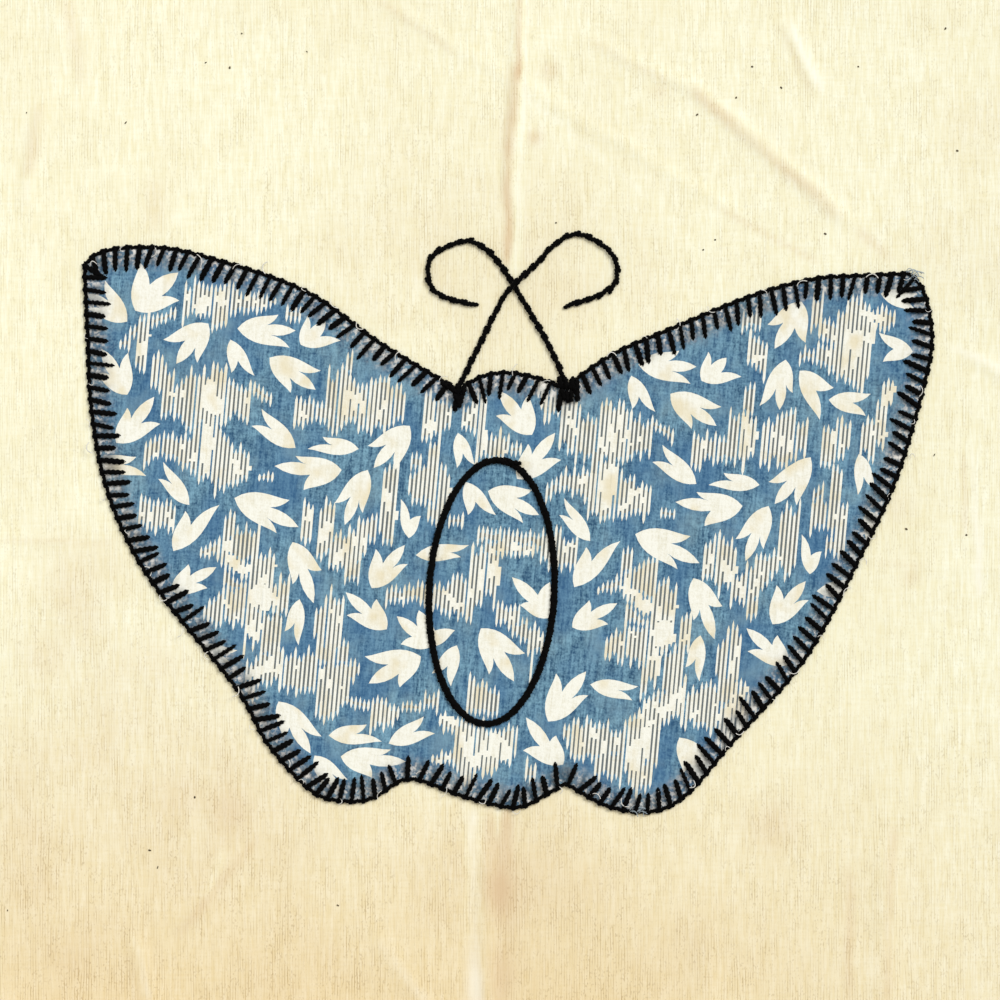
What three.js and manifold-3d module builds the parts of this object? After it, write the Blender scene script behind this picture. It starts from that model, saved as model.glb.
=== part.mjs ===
// A quilt square lying face up: a square of cream muslin with a butterfly of printed cotton sewn on it.
// Millimetres. Seen from above, +X runs to the right and +Y towards the butterfly's head, and +Z is up.
// The origin is under the middle of the square, on the surface it lies on.

import * as THREE from 'three';
import { mergeVertices } from 'three/addons/utils/BufferGeometryUtils.js';
import Module from 'manifold-3d';

const wasm = await Module();
wasm.setup();

// Driving dimensions
const SQUARE_SIDE = 317.5;
const MUSLIN_THICKNESS = 1;
const PATCH_THICKNESS = 1;
const LAYER_GAP = 0.3;

const EDGE_THREAD_WIDTH = 1.4;
const EDGE_THREAD_HEIGHT = 1;
const STITCH_PITCH = 3.9;
const STITCH_LENGTH = 6;
const STITCH_LENGTH_SPREAD = 0.6;
const STITCH_WIDTH = 1.4;
const STITCH_HEIGHT = 0.8;
const STITCH_LEAN = THREE.MathUtils.degToRad(-7);
const STITCH_LEAN_SPREAD = THREE.MathUtils.degToRad(7);
const LENGTH_WAVES = [2.3, 0.7];
const LEAN_WAVE = 1.7;

const ANTENNA_WIDTH = 1.6;
const ANTENNA_HEIGHT = 1.2;
const ANTENNA_STEPS = 42;
const ANTENNA_SIDES = 8;
const CROSSING_RISE_LENGTH = 9;
const CROSSING_LEVEL_SHARE = 0.3;

const BODY_CENTRE = new THREE.Vector2(-2.5, -28);
const BODY_HALF_WIDTH = 19;
const BODY_HALF_LENGTH = 40;
const BODY_TILT = THREE.MathUtils.degToRad(-3);
const BODY_LINE_WIDTH = 2.1;
const BODY_LINE_HEIGHT = 1.2;
const BODY_LINE_BEVEL = 0.35;
const BODY_SEGMENTS = 24;

const OUTLINE_STEP = 4.5;
const OUTLINE_FINE_STEP = 0.5;

// Levels of the layers, from the surface up
const PATCH_UNDERSIDE = MUSLIN_THICKNESS + LAYER_GAP;
const PATCH_TOP = PATCH_UNDERSIDE + PATCH_THICKNESS;
const THREAD_UNDERSIDE = PATCH_TOP + LAYER_GAP;
const ANTENNA_LEVEL = MUSLIN_THICKNESS + LAYER_GAP + ANTENNA_HEIGHT / 2;
const CROSSING_RISE = ANTENNA_HEIGHT + LAYER_GAP;

// Creases and soft waves of the muslin, one to a row: it stands up by height over halfWidth to each side
// of the line, and runs out to nothing over startFade and endFade. A fade of 0 runs off the cut edge.
const CREASES = [
  { name: 'pressed centre fold, above', fromX: 6, fromY: 159, toX: 2.5, toY: 85,
    halfWidth: 6, height: 1.3, startFade: 0, endFade: 16 },
  { name: 'pressed centre fold, below', fromX: -4.5, fromY: -101, toX: -3.5, toY: -159,
    halfWidth: 8, height: 1.3, startFade: 12, endFade: 0 },
  { name: 'pressed cross fold, left', fromX: -159, fromY: -12, toX: -124, toY: -13,
    halfWidth: 6, height: 0.8, startFade: 0, endFade: 14 },
  { name: 'pressed cross fold, right', fromX: 159, fromY: -21, toX: 119, toY: -20,
    halfWidth: 6, height: 0.8, startFade: 0, endFade: 14 },
  { name: 'long slanting crease, upper part', fromX: 24, fromY: 142, toX: 66, toY: 121,
    halfWidth: 6, height: 0.9, startFade: 14, endFade: 10 },
  { name: 'long slanting crease, lower part', fromX: 53, fromY: 130.5, toX: 111, toY: 81,
    halfWidth: 7, height: 1.2, startFade: 10, endFade: 12 },
  { name: 'slanting crease past the wing tip', fromX: 159, fromY: 36, toX: 139, toY: 46,
    halfWidth: 6, height: 0.9, startFade: 0, endFade: 10 },
  { name: 'faint slanting crease', fromX: -38, fromY: 153, toX: 78, toY: 84,
    halfWidth: 6, height: 0.6, startFade: 12, endFade: 14 },
  { name: 'short crease at top right', fromX: 85, fromY: 149, toX: 98, toY: 122,
    halfWidth: 6, height: 1, startFade: 8, endFade: 8 },
  { name: 'crease at top left', fromX: -139, fromY: 127, toX: -146, toY: 84,
    halfWidth: 7, height: 0.9, startFade: 12, endFade: 10 },
  { name: 'wave at top left', fromX: -136, fromY: 159, toX: -133, toY: 128,
    halfWidth: 10, height: 0.8, startFade: 0, endFade: 18 },
  { name: 'slanting crease at bottom left', fromX: -76, fromY: -104, toX: -100, toY: -134,
    halfWidth: 8, height: 1, startFade: 12, endFade: 12 },
  { name: 'wave at bottom left', fromX: -113, fromY: -126, toX: -105, toY: -159,
    halfWidth: 9, height: 1.1, startFade: 14, endFade: 0 },
  { name: 'wave left of the fold', fromX: -42, fromY: -126, toX: -20, toY: -159,
    halfWidth: 8, height: 0.9, startFade: 14, endFade: 0 },
  { name: 'wave right of the fold', fromX: 62, fromY: -120, toX: 64, toY: -159,
    halfWidth: 10, height: 0.9, startFade: 16, endFade: 0 },
  { name: 'wave at bottom right', fromX: 118, fromY: -100, toX: 117, toY: -159,
    halfWidth: 10, height: 1.1, startFade: 20, endFade: 0 },
];

// Bands of the muslin's grid: the lines stand closer where the creases run
const COLUMN_BANDS = [
  { end: -90, step: 8.6 },
  { end: -15, step: 15 },
  { end: 15, step: 3.75 },
  { end: 126, step: 7.4 },
  { end: SQUARE_SIDE / 2, step: 11 },
];
const ROW_BANDS = [
  { end: -98, step: 10 },
  { end: -32, step: 33 },
  { end: -4, step: 4.7 },
  { end: 78, step: 20.5 },
  { end: SQUARE_SIDE / 2, step: 6.7 },
];

// The butterfly's edge, clockwise from the tip of its left wing, in runs between its sharp corners.
// Each run is a smooth curve through its points [x, y], and starts where the run before it ends.
const BUTTERFLY_EDGE = [
  { run: 'top of the left wing',
    through: [[-126.5, 71.5], [-121.5, 75.5], [-109.5, 77], [-93, 75], [-60, 64], [-36, 47.5],
      [-12.5, 33.5]] },
  { run: 'head',
    through: [[-6, 37.5], [2.5, 38.8], [12, 37], [19.5, 34.2]] },
  { run: 'top of the right wing',
    through: [[34.5, 44.5], [54, 53], [77.5, 62.5], [96, 67.4], [110, 68.3], [124.5, 69]] },
  { run: 'side and lobe of the right wing',
    through: [[129, 63.5], [131.5, 50], [129.5, 36.5], [121, 7.5], [110, -16.5], [93, -48], [70, -74.5],
      [57, -89.5], [46.5, -94.8], [33, -93.3], [20, -86.3]] },
  { run: 'tail, lobe and side of the left wing',
    through: [[10.7, -91.5], [4, -93.7], [-11, -90.3], [-22.5, -86], [-29.5, -85.2], [-39.5, -91],
      [-49, -91.5], [-57.5, -88.5], [-70.5, -74.5], [-80.5, -57], [-103, -29], [-114, -11], [-121, 8],
      [-124.5, 29], [-125.5, 49], [-126.5, 71.5]] },
];

// The antennae, from the notch beside the head to the end of the curl
const ANTENNAE = [
  { name: 'antenna_left', over: false,
    through: [[19.4, 37.2], [17.1, 42.5], [11.6, 53], [4.1, 65.4], [-0.2, 72], [-5.2, 77], [-10.2, 78.8],
      [-15.8, 77.2], [-20.8, 74], [-21.8, 69.5], [-20.8, 64.8], [-16.5, 61.7], [-8.3, 59.4]] },
  { name: 'antenna_right', over: true,
    through: [[-11.6, 36.4], [-8.3, 43], [-3.4, 53], [1, 61.4], [4.1, 65.4], [11, 71.8], [17.2, 78.2],
      [23.4, 80.9], [29.6, 78.6], [34.5, 74.2], [35.6, 69.6], [34.4, 65.2], [28.3, 61.6], [20.9, 59.4]] },
];
const CROSSING = new THREE.Vector2(4.1, 65.4);

// Finishes
const muslin = new THREE.MeshStandardMaterial({ color: '#f8f1ce', roughness: 0.92, metalness: 0 });
const printedCotton = new THREE.MeshStandardMaterial({ color: '#87a6b8', roughness: 0.88, metalness: 0 });
const blackThread = new THREE.MeshStandardMaterial({ color: '#141413', roughness: 0.75, metalness: 0 });

// Lift of the muslin above the surface at a point: the highest of the creases that pass there
function creaseLift(x, y) {
  let lift = 0;
  for (const crease of CREASES) {
    const start = new THREE.Vector2(crease.fromX, crease.fromY);
    const line = new THREE.Vector2(crease.toX, crease.toY).sub(start);
    const length = line.length();
    const direction = line.normalize();
    const offset = new THREE.Vector2(x, y).sub(start);
    const along = offset.dot(direction);
    const across = Math.abs(offset.cross(direction));
    if (across >= crease.halfWidth) continue;
    const section = Math.cos((Math.PI / 2) * (across / crease.halfWidth)) ** 2;
    const rise = crease.startFade > 0 ? THREE.MathUtils.smoothstep(along, 0, crease.startFade) : 1;
    const fall = crease.endFade > 0 ? THREE.MathUtils.smoothstep(length - along, 0, crease.endFade) : 1;
    lift = Math.max(lift, crease.height * section * rise * fall);
  }
  return lift;
}

// Places of the grid lines across the square, each band shared out evenly
function gridLines(bands) {
  const lines = [-SQUARE_SIDE / 2];
  for (const band of bands) {
    const start = lines.at(-1);
    const count = Math.round((band.end - start) / band.step);
    for (let i = 1; i <= count; i += 1) lines.push(start + ((band.end - start) * i) / count);
  }
  return lines;
}

// The muslin: one sheet of even thickness that lies flat and lifts along its creases
function makeMuslin() {
  const columns = gridLines(COLUMN_BANDS);
  const rows = gridLines(ROW_BANDS);
  const positions = [];
  const triangles = [];
  for (const face of [0, MUSLIN_THICKNESS]) {
    for (const y of rows) {
      for (const x of columns) positions.push(x, y, face + creaseLift(x, y));
    }
  }
  const layer = columns.length * rows.length;
  const place = (row, column) => row * columns.length + column;
  for (let row = 0; row + 1 < rows.length; row += 1) {
    for (let column = 0; column + 1 < columns.length; column += 1) {
      const corners = [
        place(row, column), place(row, column + 1), place(row + 1, column + 1), place(row + 1, column),
      ];
      const [a, b, c, d] = corners;
      const [topA, topB, topC, topD] = corners.map((corner) => corner + layer);
      triangles.push(topA, topB, topC, topA, topC, topD);
      triangles.push(a, c, b, a, d, c);
    }
  }
  const rim = [];
  for (let column = 0; column + 1 < columns.length; column += 1) rim.push(place(0, column));
  for (let row = 0; row + 1 < rows.length; row += 1) rim.push(place(row, columns.length - 1));
  for (let column = columns.length - 1; column > 0; column -= 1) rim.push(place(rows.length - 1, column));
  for (let row = rows.length - 1; row > 0; row -= 1) rim.push(place(row, 0));
  rim.forEach((corner, i) => {
    const next = rim[(i + 1) % rim.length];
    triangles.push(corner, next, next + layer, corner, next + layer, corner + layer);
  });
  const geometry = new THREE.BufferGeometry();
  geometry.setAttribute('position', new THREE.Float32BufferAttribute(positions, 3));
  geometry.setIndex(triangles);
  return geometry;
}

// Points along the butterfly's edge, about one step apart, with a point on every corner
function butterflyEdge(step) {
  const points = [];
  let corner = new THREE.Vector2(...BUTTERFLY_EDGE.at(-1).through.at(-1));
  for (const { through } of BUTTERFLY_EDGE) {
    const knots = [corner, ...through.map(([x, y]) => new THREE.Vector2(x, y))];
    const isRepeated = knots[0].distanceTo(knots[1]) === 0;
    const curve = new THREE.SplineCurve(isRepeated ? knots.slice(1) : knots);
    const count = Math.round(curve.getLength() / step);
    points.push(...curve.getSpacedPoints(count).slice(0, -1));
    corner = knots.at(-1);
  }
  return points;
}

// The inward direction at each point of a clockwise loop, halfway between its two sides
function inwardDirections(loop) {
  return loop.map((_, i) => {
    const before = loop.at(i - 1);
    const after = loop[(i + 1) % loop.length];
    const along = after.clone().sub(before).normalize();
    return new THREE.Vector2(along.y, -along.x);
  });
}

function shiftedLoop(loop, distance) {
  const inward = inwardDirections(loop);
  return loop.map((point, i) => point.clone().addScaledVector(inward[i], distance));
}

// The butterfly: one flat piece of printed cotton
function makePatch() {
  const shape = new THREE.Shape(butterflyEdge(OUTLINE_STEP));
  const geometry = new THREE.ExtrudeGeometry(shape, { depth: PATCH_THICKNESS, bevelEnabled: false });
  return geometry.translate(0, 0, PATCH_UNDERSIDE);
}

function solidFrom(geometry) {
  const bare = geometry.clone();
  bare.deleteAttribute('normal');
  bare.deleteAttribute('uv');
  const merged = mergeVertices(bare);
  return new wasm.Manifold(new wasm.Mesh({
    numProp: 3,
    vertProperties: new Float32Array(merged.attributes.position.array),
    triVerts: new Uint32Array(merged.index.array),
  }));
}

function geometryFrom(solid) {
  const mesh = solid.getMesh();
  const geometry = new THREE.BufferGeometry();
  geometry.setAttribute('position', new THREE.BufferAttribute(mesh.vertProperties, 3));
  geometry.setIndex(new THREE.BufferAttribute(mesh.triVerts, 1));
  return geometry;
}

// The blanket stitch: a line of thread along the edge, and a bar across the cloth at every stitch.
// The bars lean with the sewing and are as uneven as handwork, by fixed waves along the edge.
function makeEdgeStitching() {
  const edge = butterflyEdge(OUTLINE_STEP);
  const band = new THREE.Shape(shiftedLoop(edge, -EDGE_THREAD_WIDTH / 2));
  band.holes.push(new THREE.Path(shiftedLoop(edge, EDGE_THREAD_WIDTH / 2).reverse()));
  const edgeLine = new THREE.ExtrudeGeometry(band, { depth: EDGE_THREAD_HEIGHT, bevelEnabled: false });
  let stitching = solidFrom(edgeLine);
  const fineEdge = butterflyEdge(OUTLINE_FINE_STEP);
  const inward = inwardDirections(fineEdge);
  const count = Math.round((fineEdge.length * OUTLINE_FINE_STEP) / STITCH_PITCH);
  for (let stitch = 0; stitch < count; stitch += 1) {
    const place = Math.floor((stitch * fineEdge.length) / count);
    const unevenness = Math.sin(stitch * LENGTH_WAVES[0]) * Math.sin(stitch * LENGTH_WAVES[1]);
    const length = STITCH_LENGTH + STITCH_LENGTH_SPREAD * unevenness;
    const lean = STITCH_LEAN + STITCH_LEAN_SPREAD * Math.sin(stitch * LEAN_WAVE);
    const direction = inward[place].clone().rotateAround(new THREE.Vector2(), lean);
    const middle = fineEdge[place].clone().addScaledVector(direction, length / 2);
    const bar = new THREE.BoxGeometry(length, STITCH_WIDTH, STITCH_HEIGHT);
    bar.rotateZ(direction.angle());
    bar.translate(middle.x, middle.y, EDGE_THREAD_HEIGHT / 2);
    stitching = stitching.add(solidFrom(bar));
  }
  return geometryFrom(stitching).translate(0, 0, THREAD_UNDERSIDE);
}

// An antenna: a line of outline stitch on the muslin, which rises where it crosses over the other one
function makeAntenna({ over, through }) {
  const line = new THREE.SplineCurve(through.map(([x, y]) => new THREE.Vector2(x, y)));
  const route = line.getSpacedPoints(ANTENNA_STEPS).map((point) => {
    const nearness = 1 - Math.min(1, point.distanceTo(CROSSING) / CROSSING_RISE_LENGTH);
    const climb = THREE.MathUtils.smoothstep(nearness, 0, 1 - CROSSING_LEVEL_SHARE);
    return new THREE.Vector3(point.x, point.y, ANTENNA_LEVEL + (over ? CROSSING_RISE * climb : 0));
  });
  const section = new THREE.Shape();
  section.absellipse(0, 0, ANTENNA_HEIGHT / 2, ANTENNA_WIDTH / 2, 0, 2 * Math.PI);
  return new THREE.ExtrudeGeometry(new THREE.Shape(section.getSpacedPoints(ANTENNA_SIDES).slice(0, -1)), {
    steps: ANTENNA_STEPS,
    extrudePath: new THREE.CatmullRomCurve3(route),
  });
}

// The body: an oval line of outline stitch on the butterfly
function makeBodyOutline() {
  const halfLine = BODY_LINE_WIDTH / 2 - BODY_LINE_BEVEL;
  const oval = (shape, margin) => shape.absellipse(
    BODY_CENTRE.x, BODY_CENTRE.y, BODY_HALF_WIDTH + margin, BODY_HALF_LENGTH + margin,
    0, 2 * Math.PI, false, BODY_TILT,
  );
  const ring = oval(new THREE.Shape(), halfLine);
  ring.holes.push(oval(new THREE.Path(), -halfLine));
  const geometry = new THREE.ExtrudeGeometry(ring, {
    depth: BODY_LINE_HEIGHT - 2 * BODY_LINE_BEVEL,
    curveSegments: BODY_SEGMENTS,
    bevelSize: BODY_LINE_BEVEL,
    bevelThickness: BODY_LINE_BEVEL,
    bevelSegments: 1,
  });
  return geometry.translate(0, 0, THREAD_UNDERSIDE + BODY_LINE_BEVEL);
}

function piece(name, geometry, material) {
  const mesh = new THREE.Mesh(geometry, material);
  mesh.name = name;
  return mesh;
}

const quiltSquare = new THREE.Group();
quiltSquare.add(piece('muslin_square', makeMuslin(), muslin));
quiltSquare.add(piece('butterfly_patch', makePatch(), printedCotton));
quiltSquare.add(piece('edge_stitching', makeEdgeStitching(), blackThread));
for (const antenna of ANTENNAE) {
  quiltSquare.add(piece(antenna.name, makeAntenna(antenna), blackThread));
}
quiltSquare.add(piece('body_outline', makeBodyOutline(), blackThread));

export default quiltSquare;
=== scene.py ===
# %% [markdown]
# # A quilt square with an appliqued butterfly
# One square of cream muslin lies flat, face up. A butterfly cut from blue leaf-print cotton is sewn on it
# with black blanket stitch, and its antennae and body are lines of black outline stitch.
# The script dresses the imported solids: each cloth becomes a thin sheet on its solid's folds, and the sewing
# becomes real thread.

import math
import random
from collections import namedtuple

import bpy
import numpy as np
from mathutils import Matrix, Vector, noise
from mathutils.geometry import delaunay_2d_cdt


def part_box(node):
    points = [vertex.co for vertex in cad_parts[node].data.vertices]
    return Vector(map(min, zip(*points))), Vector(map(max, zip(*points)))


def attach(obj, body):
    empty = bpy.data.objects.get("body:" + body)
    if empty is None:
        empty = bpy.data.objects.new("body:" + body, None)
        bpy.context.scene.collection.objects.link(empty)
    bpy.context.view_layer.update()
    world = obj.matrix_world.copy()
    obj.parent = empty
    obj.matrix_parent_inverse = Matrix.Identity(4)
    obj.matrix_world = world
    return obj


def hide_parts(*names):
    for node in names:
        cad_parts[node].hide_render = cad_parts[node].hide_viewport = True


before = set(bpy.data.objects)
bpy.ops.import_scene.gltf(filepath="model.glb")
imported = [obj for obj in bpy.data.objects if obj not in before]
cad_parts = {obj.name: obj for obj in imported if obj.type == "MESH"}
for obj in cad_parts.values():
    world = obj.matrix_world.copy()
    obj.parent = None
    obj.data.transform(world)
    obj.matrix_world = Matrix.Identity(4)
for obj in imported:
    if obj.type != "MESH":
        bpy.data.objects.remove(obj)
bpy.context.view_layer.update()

# %% [markdown]
# ## Units, colours and nodes
# Blender works in metres, so real sizes are written as a number times MM. Places on the face are charted in
# the photograph's own frame, a thousand units across its finished 12 inches, with y running down.
# Colours are sRGB hex values, turned to linear light by one function. One function adds a node: its inputs
# are given by name, or in the order in which the node shows them, as values or as the nodes that feed them.

# %% Units, colours and nodes
MM = 0.001
FINISHED_SIDE = 304.8 * MM
CHART_SIDE = 1000
CHART_MIDDLE = CHART_SIDE / 2
CHART_UNIT = FINISHED_SIDE / CHART_SIDE


def on_face(x, y):
    """The place on the square, in metres, of a place in the chart."""
    return (x - CHART_MIDDLE) * CHART_UNIT, (CHART_MIDDLE - y) * CHART_UNIT


def linear(hex_colour):
    """Linear RGBA of an sRGB hex colour."""
    channels = [int(hex_colour[i:i + 2], 16) / 255 for i in (1, 3, 5)]
    return tuple(c / 12.92 if c <= 0.04045 else ((c + 0.055) / 1.055) ** 2.4 for c in channels) + (1.0,)


def add_node(tree, kind, settings=None, inputs=None):
    """A new node with its settings made and its inputs set or linked, by name or in the order shown."""
    node = tree.nodes.new(kind)
    for name, value in (settings or {}).items():
        setattr(node, name, value)
    if isinstance(inputs, dict):
        pairs = [(node.inputs[name], value) for name, value in inputs.items()]
    else:
        pairs = zip([socket for socket in node.inputs if socket.enabled], inputs or ())
    for socket, value in pairs:
        if isinstance(value, bpy.types.Node):
            value = next(output for output in value.outputs if output.enabled)
        if isinstance(value, bpy.types.NodeSocket):
            tree.links.new(value, socket)
        elif value is not None:
            socket.default_value = value
    return node


print("one chart unit is", round(CHART_UNIT / MM, 4), "mm")

# %% [markdown]
# ## How the finishes are made
# Every finish is a stack of tints: a base colour, and over it another one wherever a pattern of threads, wear
# or dirt is strong. The patterns are noise stretched to the real width and length of the lumps in a thread,
# in Object coordinates, so that they keep their size on the cloth. All of it is matt, so one shader will do.

# %% Finish helpers
COLOUR = {"data_type": "RGBA"}
TIMES = {"operation": "MULTIPLY"}
TIMES_PLUS = {"operation": "MULTIPLY_ADD"}
MINUS = {"operation": "SUBTRACT"}
SINE = {"operation": "SINE"}
CLOTH_SPECULAR = 0.2
Tint = namedtuple("Tint", "pattern low high most colour")


def slubs(tree, place, width, length, detail=2.0):
    """Soft lumps of a given width and length, as thick places lie along a thread."""
    scaled = add_node(tree, "ShaderNodeMapping", None, {
        "Vector": place, "Scale": (1 / width, 1 / length, 1 / MM),
    })
    return add_node(tree, "ShaderNodeTexNoise", None, {
        "Vector": scaled, "Scale": 1.0, "Detail": detail, "Roughness": 0.5,
    })


def tinted(tree, colour, tints):
    """A colour with tints laid over it, each one as its pattern rises from low to high."""
    for tint in tints:
        share = add_node(tree, "ShaderNodeMapRange", None, (tint.pattern, tint.low, tint.high, 0, tint.most))
        colour = add_node(tree, "ShaderNodeMix", COLOUR, (share, colour, linear(tint.colour)))
    return colour


def new_finish(name):
    """A new material with an empty node tree, that tree, and its Object coordinates."""
    material = bpy.data.materials.new(name)
    material.use_nodes = True
    material.node_tree.nodes.clear()
    place = add_node(material.node_tree, "ShaderNodeTexCoord").outputs["Object"]
    return material, material.node_tree, place


def end_finish(tree, colour, roughness, relief=None, shine=None):
    """Ends a finish with its shader: its colour, how matt it is, and fine relief where it has any."""
    shader = add_node(tree, "ShaderNodeBsdfPrincipled", None, {
        "Base Color": colour, "Roughness": roughness, "Specular IOR Level": CLOTH_SPECULAR, "Normal": relief,
        **(shine or {}),
    })
    add_node(tree, "ShaderNodeOutputMaterial", None, {"Surface": shader})


print("a tint has:", Tint._fields)

# %% [markdown]
# ## Camera and light
# The photograph looks straight down, so the camera hangs over the middle of the square with a long lens, and
# its frame takes in the finished 12 inches. A big soft lamp from the upper right gives the creases a light
# and a dark side, and a pale world fills the shade. The Standard view keeps the cloth's own colours.

# %% Camera and light
LENS = 85
SENSOR = 36
Lamp = namedtuple("Lamp", "name kind place softness power")
LAMPS = (
    Lamp("key", "SUN", (0.75, 0.68, 1.1), math.radians(30), 2.12),
    Lamp("fill", "AREA", (-0.7, 0.4, 1.6), 1.4, 8.5),
)

camera = bpy.data.objects.new("camera", bpy.data.cameras.new("camera"))
camera.data.lens = LENS
camera.data.sensor_width = SENSOR
camera.location = (0, 0, FINISHED_SIDE * LENS / SENSOR)
bpy.context.scene.collection.objects.link(camera)
bpy.context.scene.camera = camera

for lamp in LAMPS:
    light = bpy.data.lights.new(lamp.name, lamp.kind)
    setattr(light, "angle" if lamp.kind == "SUN" else "size", lamp.softness)
    light.energy = lamp.power
    holder = bpy.data.objects.new(lamp.name, light)
    holder.location = lamp.place
    holder.rotation_euler = (-Vector(lamp.place)).to_track_quat("-Z", "Y").to_euler()
    bpy.context.scene.collection.objects.link(holder)

world = bpy.data.worlds.new("studio")
world.use_nodes = True
world.node_tree.nodes["Background"].inputs["Color"].default_value = linear("#fffaf2")
world.node_tree.nodes["Background"].inputs["Strength"].default_value = 0.35
bpy.context.scene.world = world
bpy.context.scene.view_settings.view_transform = "Standard"
print("camera height", round(camera.location.z, 4), "m, lamps:", [lamp.name for lamp in LAMPS])

# %% [markdown]
# ## Floor
# The cloth lies on a plain pale floor, which only shows from the side. One big face is enough for it, and
# a faint unevenness keeps its paint from looking like an empty backdrop.

# %% Floor
FLOOR_HALF = 3.0
FLOOR_DROP = 0.2 * MM
PAINT_MOTTLE = 150 * MM


def mesh_object(name, points, faces, edges=()):
    """A new mesh object at the origin."""
    mesh = bpy.data.meshes.new(name)
    mesh.from_pydata(points, edges, faces)
    mesh.update()
    piece = bpy.data.objects.new(name, mesh)
    bpy.context.scene.collection.objects.link(piece)
    return piece


def floor_finish():
    """Matt floor paint: pale, warm grey, a little uneven."""
    material, tree, place = new_finish("matt pale paint")
    mottle = slubs(tree, place, PAINT_MOTTLE, PAINT_MOTTLE, 3.0)
    end_finish(tree, tinted(tree, linear("#d9d6cf"), [Tint(mottle, 0, 1, 1, "#dedbd4")]), 0.85)
    return material


corners = ((-1, -1), (1, -1), (1, 1), (-1, 1))
floor_points = [(x * FLOOR_HALF, y * FLOOR_HALF, -FLOOR_DROP) for x, y in corners]
floor = mesh_object("floor", floor_points, [(0, 1, 2, 3)])
floor.data.materials.append(floor_finish())
print("floor:", 2 * FLOOR_HALF, "m across")

# %% [markdown]
# ## The muslin's creases
# The square was pressed in half both ways to find its middle, then unfolded, and it was folded slantwise in
# storage. Each crease is a row: a line on the face in millimetres, how wide and high it stands, and how far
# its ends take to run out. The cloth lies on a table, so it can only rise. A cloth simulation would not know
# these folds, so they are placed one by one.

# %% Creases
Crease = namedtuple("Crease", "name x1 y1 x2 y2 half_width height fade_in fade_out")
CREASES = (
    Crease("pressed centre fold, above", 6, 159, 2.5, 85, 6, 1.3, 0, 16),
    Crease("pressed centre fold, below", -4.5, -101, -3.5, -159, 8, 1.3, 12, 0),
    Crease("pressed cross fold, left", -159, -12, -124, -13, 6, 0.3, 0, 14),
    Crease("pressed cross fold, right", 159, -21, 119, -20, 6, 0.3, 0, 14),
    Crease("long slanting crease, upper part", 24, 142, 66, 121, 6, 0.9, 14, 10),
    Crease("long slanting crease, lower part", 53, 130.5, 111, 81, 7, 1.2, 10, 12),
    Crease("slanting crease past the wing tip", 159, 36, 139, 46, 6, 0.9, 0, 10),
    Crease("faint slanting crease", -38, 153, 78, 84, 6, 0.6, 12, 14),
    Crease("short crease at top right", 85, 149, 98, 122, 6, 1.0, 8, 8),
    Crease("crease at top left", -139, 127, -146, 84, 7, 0.9, 12, 10),
    Crease("wave at top left", -136, 159, -133, 128, 10, 0.8, 0, 18),
    Crease("slanting crease at bottom left", -76, -104, -100, -134, 8, 1.0, 12, 12),
    Crease("wave at bottom left", -113, -126, -105, -159, 9, 1.1, 14, 0),
    Crease("wave left of the fold", -42, -126, -20, -159, 8, 0.9, 14, 0),
    Crease("wave right of the fold", 62, -120, 64, -159, 10, 0.9, 16, 0),
    Crease("wave at bottom right", 118, -100, 117, -159, 10, 1.1, 20, 0),
)

# The solid's creases are fuller than cloth this thin stands, so the sheet has them narrower and lower
CREASE_WIDTH_SHARE = 0.6
CREASE_HEIGHT_SHARE = 0.36
CREASE_WOBBLE = 16 * MM
CREASE_WOBBLE_SEED = 31.0
CREASE_UNEVENNESS = 0.4


def smooth_step(values, low, high):
    """0 below low, 1 above high, and a smooth rise between them."""
    share = np.clip((np.asarray(values, float) - low) / (high - low), 0, 1)
    return share * share * (3 - 2 * share)


def noise_field(xs, ys, size, seed):
    """Smooth noise, about -1 to 1, over points in metres, with lumps of the given size."""
    return np.array([noise.noise(Vector((x / size, y / size, seed))) for x, y in zip(xs, ys)])


def line_places(xs, ys, line):
    """Distance along a table row's line from its start, distance across it, and its length."""
    length = math.hypot(line.x2 - line.x1, line.y2 - line.y1)
    ux, uy = (line.x2 - line.x1) / length, (line.y2 - line.y1) / length
    along = (xs - line.x1) * ux + (ys - line.y1) * uy
    across = (xs - line.x1) * uy - (ys - line.y1) * ux
    return along, across, length


def crease_lift(xs, ys):
    """How far the creases lift the muslin at points in metres."""
    lift = np.zeros(len(xs))
    wobble = noise_field(xs, ys, CREASE_WOBBLE, CREASE_WOBBLE_SEED)
    for crease in CREASES:
        along, across, length = line_places(xs / MM, ys / MM, crease)
        reach = crease.half_width * CREASE_WIDTH_SHARE
        section = np.cos(np.pi / 2 * np.clip((across + wobble) / reach, -1, 1)) ** 2
        rise = smooth_step(along, 0, crease.fade_in) if crease.fade_in else 1
        fall = smooth_step(length - along, 0, crease.fade_out) if crease.fade_out else 1
        lift = np.maximum(lift, crease.height * section * rise * fall)
    return lift * (1 + CREASE_UNEVENNESS * wobble) * CREASE_HEIGHT_SHARE * MM


print(len(CREASES), "creases")

# %% [markdown]
# ## Dirt, painted shade and painted highlights in the folds
# The folds are tan along one side, with dirt and painted shade, and pale along the other with a painted
# highlight, and the cloth has a few faint stains. They are charted as lines and spots, and wander and break
# off a little.

# %% Marks and stains
MARK_FADE = 18
MARK_WANDER = 2.5
MARK_WANDER_SIZE = 9 * MM
TONE_BREAK_SHARE = 0.72
TONE_BREAK_UNEVENNESS = 0.5
TONE_BREAK_PATCH = 14 * MM
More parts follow.
